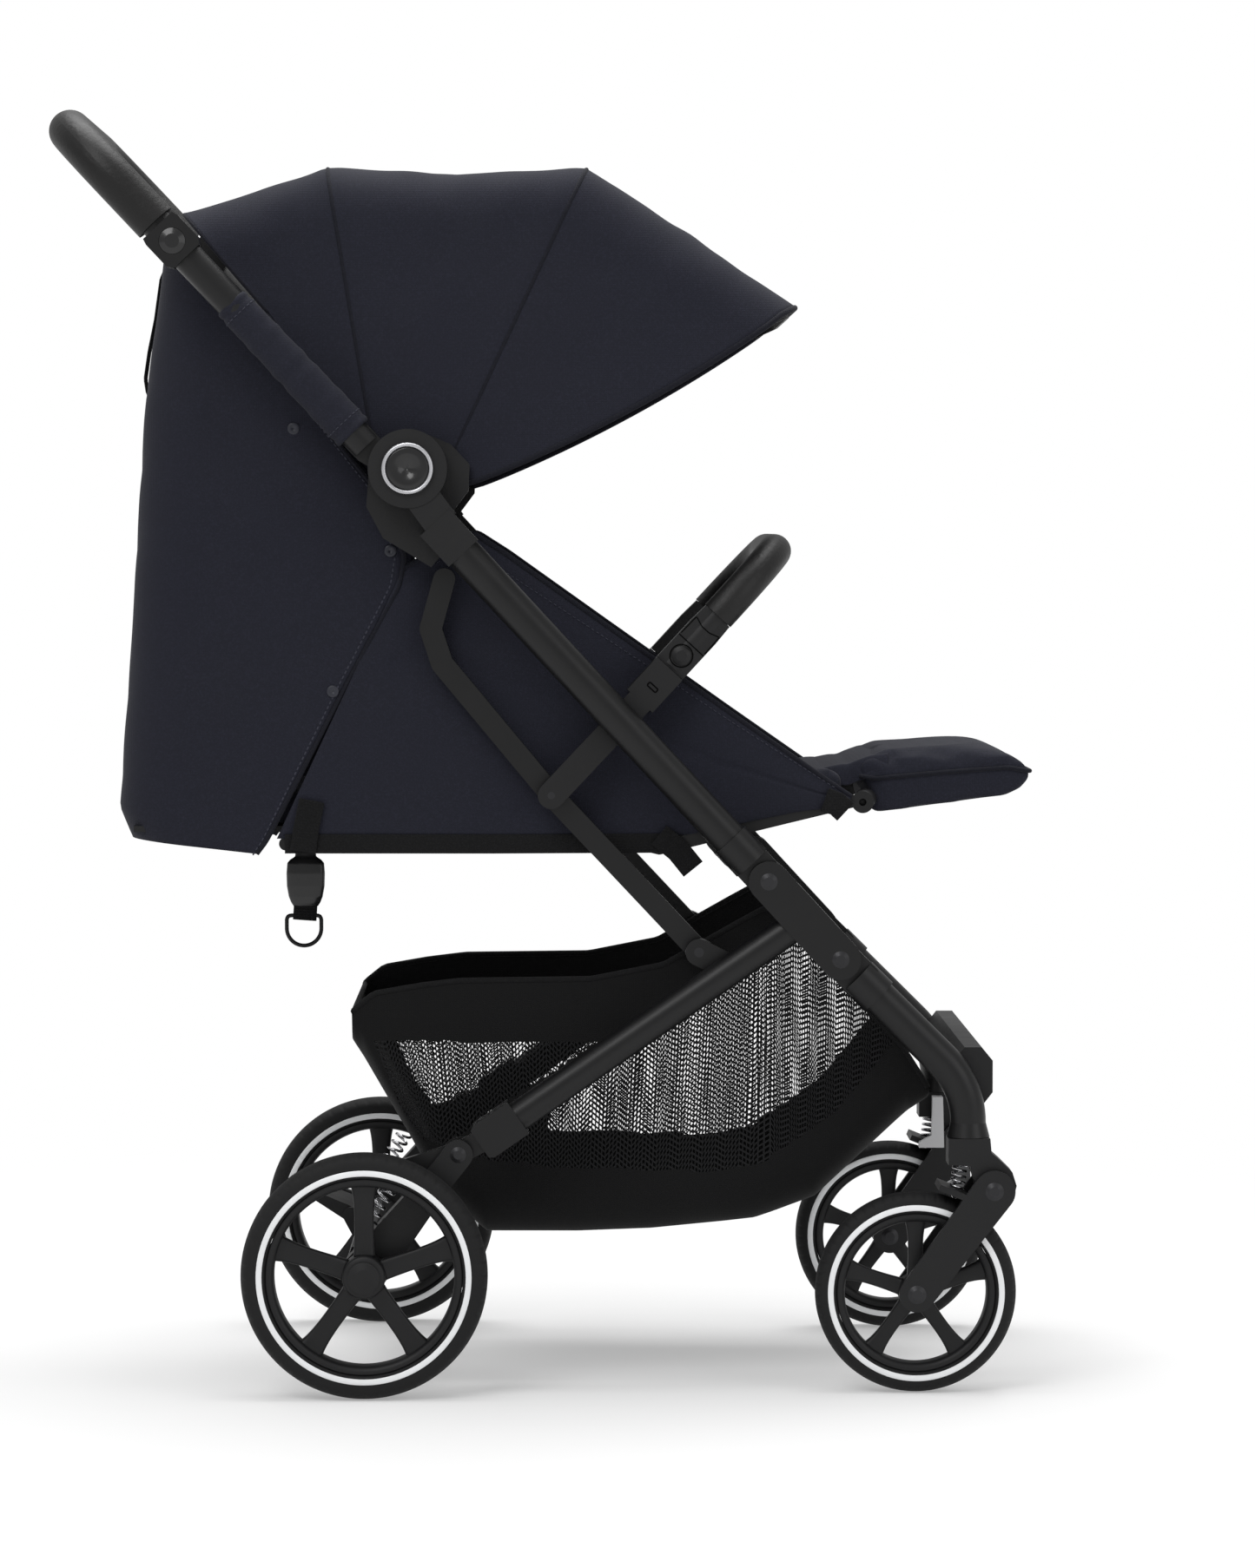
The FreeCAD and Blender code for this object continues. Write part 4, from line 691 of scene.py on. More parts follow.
# %% [markdown]
# The seat, the back and the calf rest are stuffed pads. Stuffing is easiest to copy by doing it: a closed
# block is remeshed and blown up by cloth pressure for a few frames with its seams pinned. The result is
# kept within a few millimetres of its block, so that it stays clear of its neighbours.


# %% Stuffed pads
PAD_GRAIN = 0.0055
SEAM_REACH, FLOOR_REACH = 0.0032, 0.004
PAD_PRESSURE, SIM_STEPS = 4.0, 20


def blow_up(pad, held):
    """Runs the cloth under pressure with the held points pinned, and keeps the last step."""
    group = pad.vertex_groups.new(name="seams")
    group.add(np.nonzero(held)[0].tolist(), 1.0, "REPLACE")
    cloth = pad.modifiers.new("cloth", "CLOTH")
    cloth.settings.quality = 6
    cloth.settings.mass = 0.25
    cloth.settings.tension_stiffness = 12
    cloth.settings.compression_stiffness = 12
    cloth.settings.bending_stiffness = 0.4
    cloth.settings.use_pressure = True
    cloth.settings.uniform_pressure_force = PAD_PRESSURE
    cloth.settings.vertex_group_mass = "seams"
    cloth.settings.effector_weights.gravity = 0
    cloth.collision_settings.use_collision = False
    cloth.point_cache.frame_start = 1
    cloth.point_cache.frame_end = SIM_STEPS
    for step in range(1, SIM_STEPS + 1):
        bpy.context.scene.frame_set(step)
    settle(pad)
    bpy.context.scene.frame_set(1)


def stuffed(name, outline, half, seams, bottom, limit, body, node):
    """Block with the outline (x, z) and half width y, blown up by cloth pressure as far as limit."""
    outline = np.array(outline, float)
    mesh = bpy.data.meshes.new(name)
    count = len(outline)
    front = np.column_stack([outline[:, 0], np.full(count, -half), outline[:, 1]])
    back = front * [1, -1, 1]
    sides = [(i, (i + 1) % count, count + (i + 1) % count, count + i) for i in range(count)]
    mesh.from_pydata((np.vstack([front, back]) * MM).tolist(), [],
                     [tuple(range(count)), tuple(range(2 * count - 1, count - 1, -1))] + sides)
    outward(mesh)
    mesh.materials.append(navy_pad)
    pad = placed(name, mesh)
    block = pad.modifiers.new("block", "REMESH")
    block.mode = "VOXEL"
    block.voxel_size = PAD_GRAIN
    settle(pad)
    start = points_of(pad.data)
    held = start[:, 2] < bottom(start[:, 0] * 1000) * MM + FLOOR_REACH
    for x in seams:
        held |= np.abs(start[:, 0] - x * MM) < SEAM_REACH
    blow_up(pad, held)
    move = points_of(pad.data) - start
    reach = np.linalg.norm(move, axis=1, keepdims=True)
    move *= np.minimum(1.0, limit * MM / np.maximum(reach, 1e-9))
    now = start + move
    now[:, 1] = np.clip(now[:, 1], -half * MM, half * MM)
    now[:, 2] = np.maximum(now[:, 2], bottom(now[:, 0] * 1000) * MM)
    pad.data.vertices.foreach_set("co", now.ravel())
    finer = pad.modifiers.new("smooth", "SUBSURF")
    finer.levels = 1
    finer.render_levels = 1
    settle(pad)
    wear(pad.data, navy_pad)
    shade_smooth(pad.data)
    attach(pad, body)
    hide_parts(node)
    print(name, "faces:", len(pad.data.polygons), "largest move mm:", round(float(reach.max()) * 1000, 1))


def line_through(points):
    """Height of a broken line of (x, z) points, as a function of x."""
    xs, zs = zip(*points)
    return lambda x: np.interp(x, xs, zs)


stuffed("seat_pad", [(86.3, 452.5), (100.3, 449.5), (194.3, 473), (236.3, 483), (246.3, 488), (247.3, 500),
                     (238.3, 507), (128.3, 485), (91.3, 482), (85.3, 477)], 131.5, [140, 195],
        line_through([(86, 452.5), (100.3, 449.5), (194.3, 473), (247, 486)]), 6.0, "seat", "seat_cushion")
stuffed("back_pad", [(32.3, 460.6), (35.3, 466), (32.3, 485), (18.3, 489), (-313.7, 489), (-329.7, 484),
                     (-334.7, 474), (-334.7, 460.6)], 130.5, [-60, -150, -240],
        line_through([(-400, 460.4), (100, 460.4)]), 6.0, "backrest", "backrest_pad")
stuffed("calf_pad", [(272.3, 469), (384.3, 484), (398.3, 491), (404.3, 501), (400.3, 510), (387.3, 517.5),
                     (358.3, 521.5), (268.3, 515.5), (259.3, 507), (260.3, 499), (272.3, 489)], 111.0, [],
        line_through([(262, 484), (270.3, 467.5), (384.3, 483), (406, 496)]), 5.0, "leg_rest", "leg_rest")


# %% [markdown]
# A bead of piping closes the seam round the calf rest, and an ear on each side carries it on its pivot.
# Both ride with the calf rest when it tilts.

# %% Calf rest trim
CALF_PIVOT = (263.5, 479.6)
EAR_INNER_Y, EAR_OUTER_Y, EAR_SIDES = 113.2, 133.6, 24


def calf_trim():
    """Piping round the calf rest between its upper and lower cloth, and the two ears that carry it."""
    mid = np.array([(262, 500), (275, 498), (330, 503), (385, 507), (403.2, 504)], float)
    side = [np.column_stack([mid[:, 0], np.full(len(mid), sign * 111.6), mid[:, 1]])
            for sign in RIGHT_THEN_LEFT]
    front = np.array([[403.8, y, 504.0] for y in np.linspace(-106, 106, 9)])
    path = np.vstack([side[0], front, side[1][::-1]])
    bead = tube("calf_piping", path, 1.8, piping)
    angle = full_turn(EAR_SIDES)
    ears = []
    for sign in RIGHT_THEN_LEFT:
        rings = []
        for y, shift_x, shift_z in ((EAR_INNER_Y, 4, 2), (EAR_OUTER_Y, 0, 0)):
            x = CALF_PIVOT[0] + 9 * np.cos(angle) + shift_x
            z = CALF_PIVOT[1] + 8 * np.sin(angle) + shift_z
            rings.append(np.column_stack([x, np.full(EAR_SIDES, sign * y), z]))
        ears.append(surface("calf_ear", np.array(rings), moulded, ring=True, ends=True))
    whole = joined("calf_rest_trim", [bead] + ears)
    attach(whole, "leg_rest")
    print("calf trim faces:", len(whole.data.polygons))


calf_trim()


# %% [markdown]
# Where the seat meets the calf rest, the seat's cloth runs on over the edge. It is a sheet stretched
# between the two, with side flaps that fall over the pads and a slight dip at the knee edge, fixed in place.

# %% Knee cloth
KNEE_EDGE, KNEE_COLUMNS = 254, 81


def knee_cloth():
    """The seat cloth that runs on over the knee edge to the calf rest: a sheet along a curve."""
    line = resample([(226, 0, 505.0), (240, 0, 508.0), (252, 0, 510.5), (262, 0, 513.2), (272, 0, 516.6),
                     (286, 0, 518.4)], 2.0)
    across = np.sin(np.linspace(-0.5, 0.5, KNEE_COLUMNS) * math.pi)
    half = 111.0 - 2.0 * np.exp(-((line[:, :1] - KNEE_EDGE) / 9.0) ** 2)
    fall = 17.0 * np.clip((np.abs(across) - 0.94) / 0.06, 0, 1)[None, :] ** 1.5
    dip = 1.2 * np.exp(-((line[:, :1] - KNEE_EDGE) / 5.0) ** 2)
    grid = np.stack([np.repeat(line[:, :1], KNEE_COLUMNS, 1), half * across[None, :],
                     line[:, 2:] - fall - dip], -1)
    sheet = surface("knee_cloth", grid, navy_pad, thick=KNEE_THICK)
    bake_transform(sheet)


knee_cloth()


# %% [markdown]
# The basket is a cloth trough hung between the legs. It uses the hooped form turned over: each section
# starts at the rim, drops to the floor and crosses. Its number "open_panel" is positive where the cloth is
# an open net and negative where it is solid. It rides with the chassis and is not squashed when the
# stroller folds, though real cloth gives way to the frame.

# %% Basket
BASKET_ROWS = 170
BASKET_WIDEST, NET_SIDE_Y = 140.4, 139.0
LEG_LINE, LEG_SLOPE, LEG_COVER = (40, 267), math.radians(34.6), 9
FRONT_START, FRONT_RUN, NET_TOP, FRONT_BORDER = 70, 30, 284.0, 22.0
SILL_X, SILL_Z = [-141, -106, -60, 10, 150, 182, 240, 292], [288, 206, 186, 178, 174, 182, 222, 284]


def open_part(x, z, rise, floor):
    """How far a point of the side lies inside the net: the least distance to ceiling, sill and leg."""
    below = (x - LEG_LINE[0]) * math.sin(LEG_SLOPE) - (z - LEG_LINE[1]) * math.cos(LEG_SLOPE)
    sloped = np.where(x > FRONT_START, below, np.abs(below)) - LEG_COVER
    ahead = np.clip((x - FRONT_START) / FRONT_RUN, 0, 1)
    ceiling = NET_TOP + ahead * (rise - FRONT_BORDER + floor - NET_TOP)
    return np.minimum(np.minimum(ceiling - z, z - np.interp(x, SILL_X, SILL_Z)), sloped)


def basket():
    """A cloth trough hung between the legs, with its rear pocket, front flap and a turned rim."""
    table = [(0.000, -155.4, 308.0, -155.4, 307.0), (0.030, -155.0, 309.0, -155.4, 283.4),
             (0.12, -138.2, 322.4, -107.3, 200.6), (0.25, -100.0, 329.0, -83.3, 156.4),
             (0.35, -67.0, 333.0, -45.6, 123.6), (0.50, 39.9, 334.2, 30.0, 123.4),
             (0.58, 100.0, 346.0, 90.0, 125.6), (0.66, 160.0, 380.0, 150.0, 131.4),
             (0.70, 182.0, 392.0, 175.2, 134.2), (0.73, 190.0, 392.0, 190.0, 139.2),
             (0.80, 228.0, 352.0, 225.1, 152.2), (0.92, 296.3, 278.0, 292.0, 214.6),
             (0.985, 316.7, 246.0, 317.2, 237.0), (1.000, 317.4, 244.0, 317.4, 243.0)]
    s, values = read_table(table, BASKET_ROWS)
    grid, share = hooped(values[:, :2], values[:, 2:], BASKET_HALF, 34.0, 34, 10, 30)
    hang = np.sin(math.pi * np.clip(s, 0, 1))[:, None]
    grid = swell(grid, np.abs(ripple(grid, 1.6, 41)) * hang
                 * np.clip(share * 3, 0, 1) * np.clip((1 - share) * 4, 0, 1))
    grid[..., 1] = np.clip(grid[..., 1], -BASKET_WIDEST, BASKET_WIDEST)
    rise = np.linalg.norm(values[:, 2:] - values[:, :2], axis=1)[:, None]
    run = np.concatenate([[0], np.cumsum(np.linalg.norm(np.diff(values[:, :2], axis=0), axis=1))])[:, None]
    uv = np.stack([np.repeat(run, grid.shape[1], 1), share * rise], -1) * MM
    open_panel = open_part(grid[..., 0], grid[..., 2], rise, values[:, 1:2])
    open_panel = np.minimum(open_panel, np.abs(grid[..., 1]) - NET_SIDE_Y)
    sheet = surface("basket_sheet", grid, net, uv=uv)
    level = sheet.data.attributes.new("open_panel", "FLOAT", "POINT")
    level.data.foreach_set("value", open_panel.ravel().astype(np.float32))
    thicken(sheet, NET_THICK, 1.0)
    trims = [tube("basket_rim", grid[:, c], 2.4, webbing, spacing=5.0) for c in (0, -1)]
    trims += [tube("basket_rim_end", grid[row], 2.2, webbing, spacing=5.0) for row in (0, -1)]
    whole = joined("basket", [sheet] + trims)
    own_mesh(whole)
    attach(whole, "chassis")
    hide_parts("basket_tub", "basket_upper")


basket()

# %% [markdown]
# The handle carries a leather-look grip from the frame, with a soft cloth sleeve lower down on each side.
# The sleeve is a profile carried along the tube. Two sines of different pitch make it uneven, as padded
# cloth on a tube is.

# %% Handle sleeves
LEAN = math.radians(133.3)
ALONG = np.array([math.cos(LEAN), math.sin(LEAN)])
ASIDE = np.array([-math.sin(LEAN), math.cos(LEAN)])
HANDLE_OFFSET = 12.0
HANDLE = HUB + HANDLE_OFFSET * np.array([math.cos(LEAN + math.pi / 2), math.sin(LEAN + math.pi / 2)])
SLEEVE_START, SLEEVE_END, SLEEVE_ROWS = 51.0, 195.5, 90
SLEEVE_SEAMS = (7, 82)


def handle_sleeve(sign):
    """Padded cloth round the tube: rings of an oval that widens towards the pivot, gathered at both hems."""
    d = np.linspace(SLEEVE_START, SLEEVE_END, SLEEVE_ROWS)
    share = (d - d[0]) / (d[-1] - d[0])
    wide = 16.6 - 1.9 * share
    hem = np.exp(-((share - 0.045) / 0.012) ** 2) + np.exp(-((share - 0.955) / 0.012) ** 2)
    soft = 0.35 * np.sin(share * 37.0) + 0.25 * np.sin(share * 61.0 + 1.0)
    wide = wide - 0.9 * hem + soft * np.sin(math.pi * share)
    wide[[0, -1]] -= 1.2
    across, up = soft_box(48, 0.8, 0.8)
    centre = HANDLE[None, :] + ALONG[None, :] * d[:, None]
    a = wide[:, None] * across[None, :]
    b = 14.3 * (wide / 16.0)[:, None] * up[None, :]
    grid = np.stack([centre[:, :1] + ASIDE[0] * a, sign * FRAME_Y + b, centre[:, 1:] + ASIDE[1] * a], -1)
    body = surface("sleeve_cloth", grid, navy, ring=True, ends=True)
    seams = [stitches("sleeve_thread", np.vstack([grid[row], grid[row, :1]])) for row in SLEEVE_SEAMS]
    return joined("handle_sleeve_" + side_name(sign), [body] + seams)


sleeves = [handle_sleeve(sign) for sign in RIGHT_THEN_LEFT]
for sleeve in sleeves:
    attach(sleeve, "push_bar")
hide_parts("handle_sleeves")
print("sleeve faces:", [len(sleeve.data.polygons) for sleeve in sleeves])

# %% [markdown]
# A real tyre is moulded foam rubber, the same all round, so it is turned: a section is swung about the
# axle. The tread comes from a wave that lowers the radius near the shoulders. A pale reflective band sits
# in each side wall.


# %% Tyres and bands
TREAD_BLOCKS, TREAD_DEPTH = 56, 1.1


def tyre(name, centre, radius, rim, width, body, node):
    """Section swung about the axle, with shallow grooves across the tread every few degrees."""
    w = width / 2
    wall = [(rim, 0.80), (rim + 1.5, 0.94), (rim + 3.5, 0.975), (radius - 10, 0.99), (radius - 6, 0.97)]
    wall += [(radius - 3.2, 0.84), (radius - 1.2, 0.62), (radius - 0.25, 0.34), (radius, 0.22)]
    wall += [(radius - 1.4, 0.17), (radius - 1.4, 0.11), (radius, 0.06)]
    section = [(r, -w * share) for r, share in wall] + [(r, w * share) for r, share in wall[::-1]]

    def tread(angle, y, r):
        shoulder = np.clip((np.abs(y) / w - 0.4) / 0.1, 0, 1) * np.clip((r - (radius - 6.5)) / 2.0, 0, 1)
        wave = np.clip(np.cos(angle * TREAD_BLOCKS + np.sign(y) * 0.9) * 4 - 2.6, 0, 1)
        return -TREAD_DEPTH * wave * shoulder

    pieces = [turned(name, section, centre, rubber, 8 * TREAD_BLOCKS, tread)]
    for sign in RIGHT_THEN_LEFT:
        face = w * 0.985 * sign
        lift = 0.35 * sign
        band = [(rim + 2.4, face - lift * 3), (rim + 2.4, face + lift * 0.6), (rim + 3.1, face + lift * 1.5),
                (rim + 6.4, face + lift * 1.6), (rim + 7.1, face + lift * 0.6), (rim + 7.1, face - lift * 3)]
        pieces.append(turned("band", band, centre, reflective, 128))
    whole = joined(name, pieces)
    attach(whole, body)
    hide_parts(node)
    print(name, "faces:", len(whole.data.polygons))


def wheel_centres(sign):
    """Rear and front wheel centre on the side that the sign stands for."""
    rear = (REAR_AXLE[0], sign * REAR_WHEEL_Y, REAR_AXLE[1])
    return rear, (FRONT_AXLE[0], sign * FRONT_WHEEL_Y, FRONT_AXLE[1])


REAR_RIM, FRONT_RIM = 80.0, 65.0
for sign in (1, -1):
    tag = side_name(sign)
    rear, front = wheel_centres(sign)
    tyre("rear_tyre_%s_rubber" % tag, rear, rear[2], REAR_RIM, 32.0, "rear_wheel_" + tag, "rear_tyre_" + tag)
    tyre("front_tyre_%s_rubber" % tag, front, front[2], FRONT_RIM, 28.0, "front_wheel_" + tag,
         "front_tyre_" + tag)

# %% [markdown]
# Each wheel disc is one moulding with a rim band, a hub and five spokes. The band and the hub are turned. A
# spoke is a soft box carried outwards, so its edges catch the light as a moulded edge does.


# %% Wheel discs
SPOKES = 5
PIN_BORE = 4.1


def wheel_disc(name, centre, rim, hub, half_hub, depth, body, node):
    """Rim band, hub and five tapered spokes whose faces fall away to rounded edges."""
    band = turned("rim_band", [(rim - 0.2, -depth), (rim - 0.2, depth), (rim - 1.6, depth + 0.5),
                               (rim - 5.2, depth - 0.3), (rim - 7.0, depth - 3.5), (rim - 7.0, -depth + 3.5),
                               (rim - 5.2, -depth + 0.3), (rim - 1.6, -depth - 0.5)], centre, moulded, 128)
    core = turned("rim_hub", [(PIN_BORE, -half_hub), (hub - 1.8, -half_hub), (hub, -half_hub + 1.8),
                              (hub, half_hub - 1.8), (hub - 1.8, half_hub),
                              (PIN_BORE, half_hub)], centre, moulded, 64)
    pieces = [band, core]
    reach = np.linspace(hub - 1.5, rim - 5.0, 26)
    share = (reach - reach[0]) / (reach[-1] - reach[0])
    half = 0.5 * hub - 0.9 * np.sin(math.pi * np.clip(share * 1.05, 0, 1)) ** 0.8 + 2.6 * share ** 6
    thick = depth * (0.56 - 0.2 * np.sin(math.pi * share) ** 0.7)
    across, out = soft_box(28, 0.45, 0.45)
    for k in range(SPOKES):
        turn = math.pi / 2 + k * 2 * math.pi / SPOKES
        u = np.array([math.cos(turn), 0, math.sin(turn)])
        v = np.array([-math.sin(turn), 0, math.cos(turn)])
        grid = (np.array(centre)[None, None, :] + reach[:, None, None] * u
                + (half[:, None] * across[None])[..., None] * v
                + (thick[:, None] * out[None])[..., None] * np.array([0, 1.0, 0]))
        pieces.append(surface("spoke", grid, moulded, ring=True, ends=True))
    whole = joined(name, pieces)
    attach(whole, body)
    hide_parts(node)
    print(name, "faces:", len(whole.data.polygons))


for sign in (1, -1):
    tag = side_name(sign)
    rear, front = wheel_centres(sign)
    wheel_disc("rear_disc_" + tag, rear, REAR_RIM, 17.5, 16.0, 12.8, "rear_wheel_" + tag, "rear_rim_" + tag)
    wheel_disc("front_disc_" + tag, front, FRONT_RIM, 14.0, 16.5, 11.2, "front_wheel_" + tag,
               "front_rim_" + tag)

# %% [markdown]
# The pivot where handle, canopy and frame meet is closed by a dark lid in a silver ring. Both are turned,
# and they sink a little into the frame's cap so that no gap shows.


# %% Hub trim
def hub_disc(sign):
    """A plain silver ring round a dark lid on the pivot."""
    y = HUB_FACE_Y
    ring = [(20.8, y - 2.2), (20.8, y + 0.3), (19.6, y + 1.1), (18.2, y + 0.8), (17.6, y - 0.4),
            (17.6, y - 2.2)]
    lid = [(0.05, y - 1.6), (17.4, y - 1.6), (17.4, y - 0.7), (16.0, y - 0.3), (0.05, y + 0.1)]
    centre = (HUB[0], 0, HUB[1])
    pieces = [turned("hub_ring", [(r, sign * a) for r, a in ring], centre, silver, 96),
              turned("hub_lid", [(r, sign * a) for r, a in lid], centre, glossy, 64)]
    whole = joined("hub_disc_" + side_name(sign), pieces)
    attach(whole, "upper_frame")


for sign in RIGHT_THEN_LEFT:
    hub_disc(sign)

# %% [markdown]
# Flat woven straps carry the seat and the carry loop. A strap is a thin soft box carried along a line, with
# ribs across it where it is seen close up.


# %% Webbing
RIB_STEP, FINE_STEP, COARSE_STEP = 2.6, 0.65, 3.0


def flat_strap(name, path, wide, thick, body=None, across="side", ribs=0.0):
    """A ribbon of rounded section along a line in the side plane, its width laid along y or in that plane."""
    line = resample(path, FINE_STEP if ribs else COARSE_STEP)
    tangent = np.gradient(line, axis=0)
    tangent /= np.linalg.norm(tangent, axis=1, keepdims=True)
    side = np.tile([0.0, 1.0, 0.0], (len(line), 1)) if across == "y" else np.cross(tangent, [0.0, 1.0, 0.0])
    up = np.cross(side, tangent)
    a, b = soft_box(24, 0.35, 0.5)
    a, b = a * wide / 2, b * thick / 2
    thicker = 1 + ribs * np.sin(np.arange(len(line)) * FINE_STEP / RIB_STEP * 2 * math.pi)
    b = b[None, :] * thicker[:, None]
    grid = line[:, None, :] + a[None, :, None] * side[:, None, :] + b[:, :, None] * up[:, None, :]
    band = surface(name, grid, webbing, ring=True, ends=True)
    if body:
        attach(band, body)
    return band


loop_points = [(-314.4, 0, 927.0), (-320.5, 0, 914.0), (-325.3, 0, 880.0), (-331.0, 0, 852.0),
               (-334.2, 0, 830.0), (-332.4, 0, 818.0), (-328.2, 0, 811.0)]
loop = flat_strap("carry_loop", loop_points, 23.0, 2.2, "upper_frame", across="y")
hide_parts("carry_strap")
for sign in RIGHT_THEN_LEFT:
    y = sign * STRAP_Y
    for x0, z0, x1, z1 in ((96.0, 453.0, 124.0, 425.0), (232.0, 482.0, 249.0, 472.0)):
        middle = ((x0 + x1) / 2 + 1.5, y, (z0 + z1) / 2 + 1.5)
        name = "seat_strap_%s_%d" % (side_name(sign), int(x0))
        flat_strap(name, [(x0, y, z0), middle, (x1, y, z1)], 20.0, 1.8, "seat")
print("straps made, loop faces:", len(loop.data.polygons))

# %% [markdown]
# Under the seat back hangs the pull that reclines it: a moulded tab on a strap, with a D of bent wire. The
# tab is a stack of soft ovals, read from a short table of heights, widths and thicknesses.

# %% Recline pull
PULL_X = -200.5
D_TOP, D_CENTRE, D_RADIUS = 377.0, (PULL_X - 1.5, 366.0), 14.6
D_CORNER = [(0.0, 0.0), (11.6, 0.0), (13.8, 1.0), (D_RADIUS, 3.2)]


def recline_pull():
    """Tab of oval rings hung on a strap end, with a wire D: a straight top, two corners and a half circle."""
    rows = [(438.0, 9.5, 2.2), (431.0, 8.6, 2.2), (427.0, 9.0, 2.6), (424.5, 13.0, 3.6), (421.5, 15.6, 4.4),
            (413.0, 16.3, 5.0), (402.0, 16.0, 5.0), (393.0, 14.4, 4.6), (388.0, 12.4, 3.8),
            (385.0, 10.4, 2.8)]
    height, table = read_table([(-z, w, t) for z, w, t in rows], 60)
    a, b = soft_box(40, 0.7, 0.8)
    rings = np.stack([PULL_X + table[:, :1] * a, table[:, 1:] * b, np.repeat(-height[:, None], 40, 1)], -1)
    tab = surface("pull_tab", rings, glossy, ring=True, ends=True)
    tail = [(PULL_X, 0, 388.0), (PULL_X - 0.5, 0, 380.0), (PULL_X - 1.0, 0, 373.0)]
    strap = flat_strap("pull_tail", tail, 20.0, 5.0, ribs=0.08)
    x, z = D_CENTRE
    arc = [(x + D_RADIUS * math.cos(q), 0, z + D_RADIUS * math.sin(q)) for q in np.linspace(0, -math.pi, 40)]
    wire = [(x + out, 0, D_TOP - fall) for out, fall in D_CORNER]
    wire += arc + [(x - out, 0, D_TOP - fall) for out, fall in D_CORNER[::-1]]
    loop_of_wire = tube("pull_wire", wire, 1.7, moulded, sides=12, spacing=1.5)
    whole = joined("recline_pull", [tab, strap, loop_of_wire])
    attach(whole, "seat")
    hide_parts("recline_strap")
    print("recline pull faces:", len(whole.data.polygons))


recline_pull()
for sign in RIGHT_THEN_LEFT:
    tape = [(x, sign * RAIL_TAPE_Y, z) for x, z in ((-211.0, 445.8), (-40.0, 445.6), (104.0, 446.2))]
    flat_strap("rail_tape_" + side_name(sign), tape, 15.8, 1.0, "seat")
    line = [(x, sign * STRAP_Y, z) for x, z in ((-188.6, 481.5), (-193.5, 458.0), (-196.0, 439.5))]
    flat_strap("recline_webbing_" + side_name(sign), line, 21.0, 2.0, "seat", ribs=0.3)

# %% [markdown]
# On the bumper's arms the moulded shells meet in fine lines. A real gap would have to be cut into the
# frame's part, which stays as it is, so a hair-thin bead of painted shade is laid on the surface along each
# line: its near-black colour stands in for the shadow inside the gap.


# %% Bumper joint lines in painted shade
ARM_LEAN = math.radians(47.3)
ARM_CENTRE_Y, ARM_RADIUS, ARM_FACE_Y, LATCH_FACE_Y = 153.6, 12.0, 164.1, 170.6
RELEASE_AT, RELEASE_RING = 74.0, 9.3


def bumper_lines(sign):
    """Painted shade along the bumper arm's seams: near-black beads round the release, a latch slot and a
    block's edges.
    """
    along = np.array([math.cos(ARM_LEAN), math.sin(ARM_LEAN)])
    aside = np.array([-along[1], along[0]])

    def on_arm(points, face):
        """Points (distance from the bracket, distance aside) laid on the flat face or on the arm's round."""
        d, e, _ = resample([(d, e, 0) for d, e in points], 0.8).T
        places = BUMPER_BRACKET[None, :] + d[:, None] * along + e[:, None] * aside
        y = np.maximum(face, ARM_CENTRE_Y + np.sqrt(np.maximum(0, ARM_RADIUS ** 2 - e ** 2)))
        return np.column_stack([places[:, 0], sign * y, places[:, 1]])

    turn = np.linspace(0.0, 2 * math.pi, 49)
    ring = [(RELEASE_AT + RELEASE_RING * math.cos(q), RELEASE_RING * math.sin(q)) for q in turn]
    slot = [(37.5, 0.0), (37.5, 4.6), (41.0, 4.6), (41.0, -4.6), (37.5, -4.6), (37.5, 0.0)]
    block = [(88.0, 13.0), (106.0, 12.6), (103.0, 4.0), (103.0, -4.0), (106.0, -12.6), (88.0, -13.0)]
    foot = [(86.0, 13.6), (86.0, -13.6)]
    # These beads are painted shade: their near-black finish stands in for the shadow in each gap between the
    # shells.
    lines = [tube("seam_ring_shade", on_arm(ring, ARM_FACE_Y), 0.55, painted_gap_shade, spacing=1.2),
             tube("seam_block_shade", on_arm(block, ARM_FACE_Y), 0.5, painted_gap_shade, spacing=1.0),
             tube("seam_foot_shade", on_arm(foot, ARM_FACE_Y), 0.5, painted_gap_shade, spacing=2.0)]
    whole = joined("bumper_seam_shade_" + side_name(sign), lines)
    latch = tube("latch_slot_shade_" + side_name(sign), on_arm(slot, LATCH_FACE_Y), 0.6, painted_gap_shade, spacing=0.8)
    for piece, body in ((whole, "bumper"), (latch, "bumper_mount")):
        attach(piece, body)


for sign in RIGHT_THEN_LEFT:
    bumper_lines(sign)
print("meshes so far:", len(bpy.data.meshes))

# %% [markdown]
# The stroller stands on a wide white floor in soft light from above and both sides. The floor takes a soft
# shadow close by and turns into even white further out, so that no horizon shows behind the object.


# %% Floor
SHADOW_REACH, GLOW_FROM, NEAR_GLOW = 0.75, 1.6, 0.32
FLOOR_DROP = 0.0004


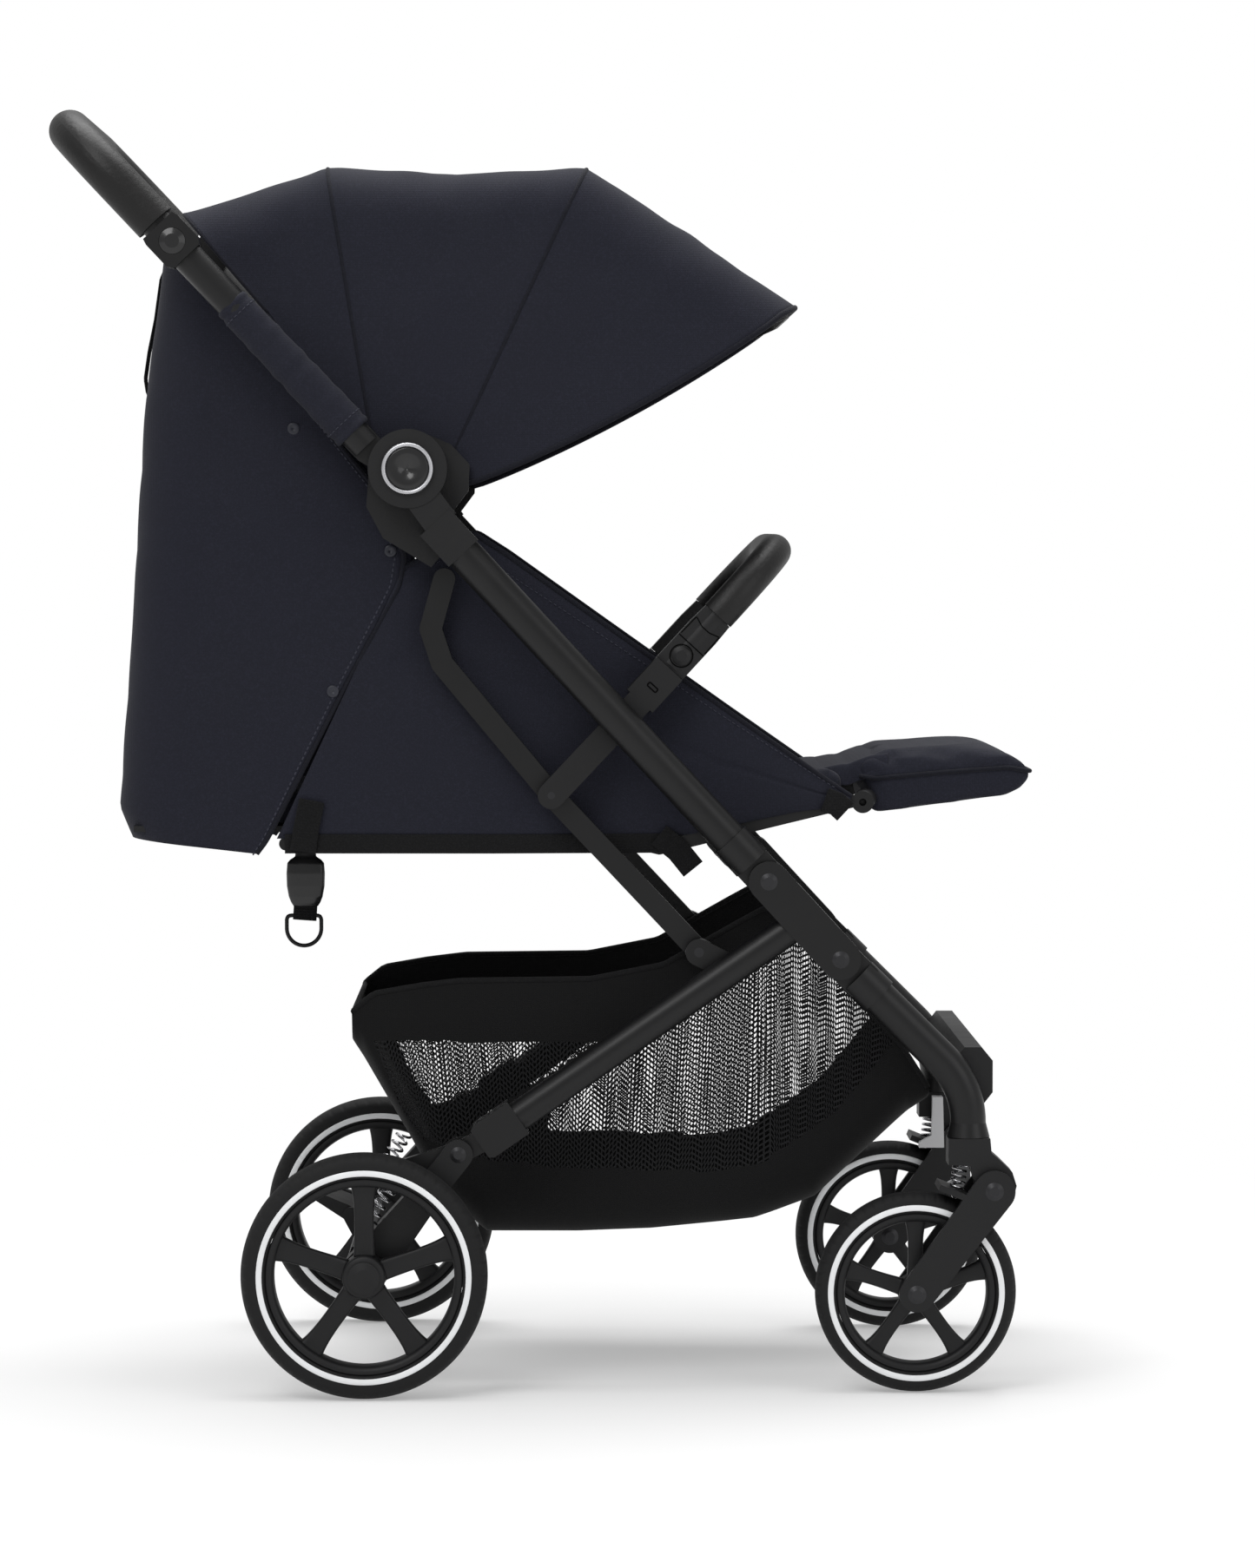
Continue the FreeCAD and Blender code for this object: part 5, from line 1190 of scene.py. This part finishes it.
def studio_floor():
    """White floor: it takes the soft shadow near the stroller and glows evenly further out."""
    material = finish("studio_floor", (0.80, 0.80, 0.80), 0.95, grain=40, height=0.01, vary=0.01,
                      spread=2, specular=0.0)
    tree = material.node_tree
    shader = tree.nodes["Principled BSDF"]
    out, place = node_of(tree, "OUTPUT_MATERIAL"), node_of(tree, "TEX_COORD")
    away = tree.nodes.new("ShaderNodeVectorMath")
    away.operation = "LENGTH"
    tree.links.new(place.outputs["Object"], away.inputs[0])
    fade = tree.nodes.new("ShaderNodeMapRange")
    fade.interpolation_type = "SMOOTHSTEP"
    fade.inputs["From Min"].default_value = SHADOW_REACH
    fade.inputs["From Max"].default_value = GLOW_FROM
    fade.inputs["To Min"].default_value = NEAR_GLOW
    tree.links.new(away.outputs["Value"], fade.inputs["Value"])
    glow = tree.nodes.new("ShaderNodeEmission")
    glow.inputs["Color"].default_value = (1.0, 1.0, 1.0, 1.0)
    mix = tree.nodes.new("ShaderNodeMixShader")
    tree.links.new(fade.outputs["Result"], mix.inputs["Fac"])
    tree.links.new(shader.outputs["BSDF"], mix.inputs[1])
    tree.links.new(glow.outputs["Emission"], mix.inputs[2])
    tree.links.new(mix.outputs["Shader"], out.inputs["Surface"])
    return material


floor = placed("floor", bpy.data.meshes.new("floor"))
floor.data.from_pydata([(-30, -12, 0), (30, -12, 0), (30, 40, 0), (-30, 40, 0)], [], [(0, 1, 2, 3)])
floor.data.materials.append(studio_floor())
floor.location.z = -FLOOR_DROP
print("floor placed at", round(floor.location.z, 5), "m")

# %% [markdown]
# White air lights the object evenly from all sides, and the camera sees it as pure white. Three large lamps
# add soft form: a key from the front left, a weak fill from the right and a strong one from above.

# %% Air and lamps
world = bpy.data.worlds.new("studio")
bpy.context.scene.world = world
world.use_nodes = True
air = world.node_tree
sky = air.nodes["Background"]
sky.inputs["Color"].default_value = (1.0, 1.0, 1.0, 1.0)
path = air.nodes.new("ShaderNodeLightPath")
level = air.nodes.new("ShaderNodeMapRange")
level.inputs["To Min"].default_value = 0.55
level.inputs["To Max"].default_value = 1.0
air.links.new(path.outputs["Is Camera Ray"], level.inputs["Value"])
air.links.new(level.outputs["Result"], sky.inputs["Strength"])


def soft_light(name, place, aim, size, power):
    """A square area light at place, turned to face aim."""
    data = bpy.data.lights.new(name, "AREA")
    data.size = size
    data.energy = power
    lamp = placed(name, data)
    lamp.location = place
    lamp.rotation_euler = (Vector(aim) - Vector(place)).to_track_quat("-Z", "Y").to_euler()


soft_light("key", (-1.4, -2.6, 3.2), (0, 0, 0.5), 1.8, 55)
soft_light("fill", (2.6, -2.2, 1.6), (0, 0, 0.5), 2.0, 18)
soft_light("top", (0.0, 0.5, 3.2), (0, 0, 0.4), 2.4, 95)
print("lamps:", len(bpy.data.lights))

# %% [markdown]
# The camera stands far off on the stroller's right with a long lens, so the near and far wheels differ
# little in size, and looks very slightly down.

# %% Camera
view = bpy.data.cameras.new("view")
view.lens = 127.0
view.sensor_width = 36.0
eye = placed("view", view)
eye.location = (0.0135, -4.678, 0.7056)
eye.rotation_euler = (math.radians(90 - 2.66), 0.0, math.radians(-0.715))
bpy.context.scene.camera = eye
bpy.context.scene.view_settings.view_transform = "Standard"
print("lens:", view.lens, "mm")
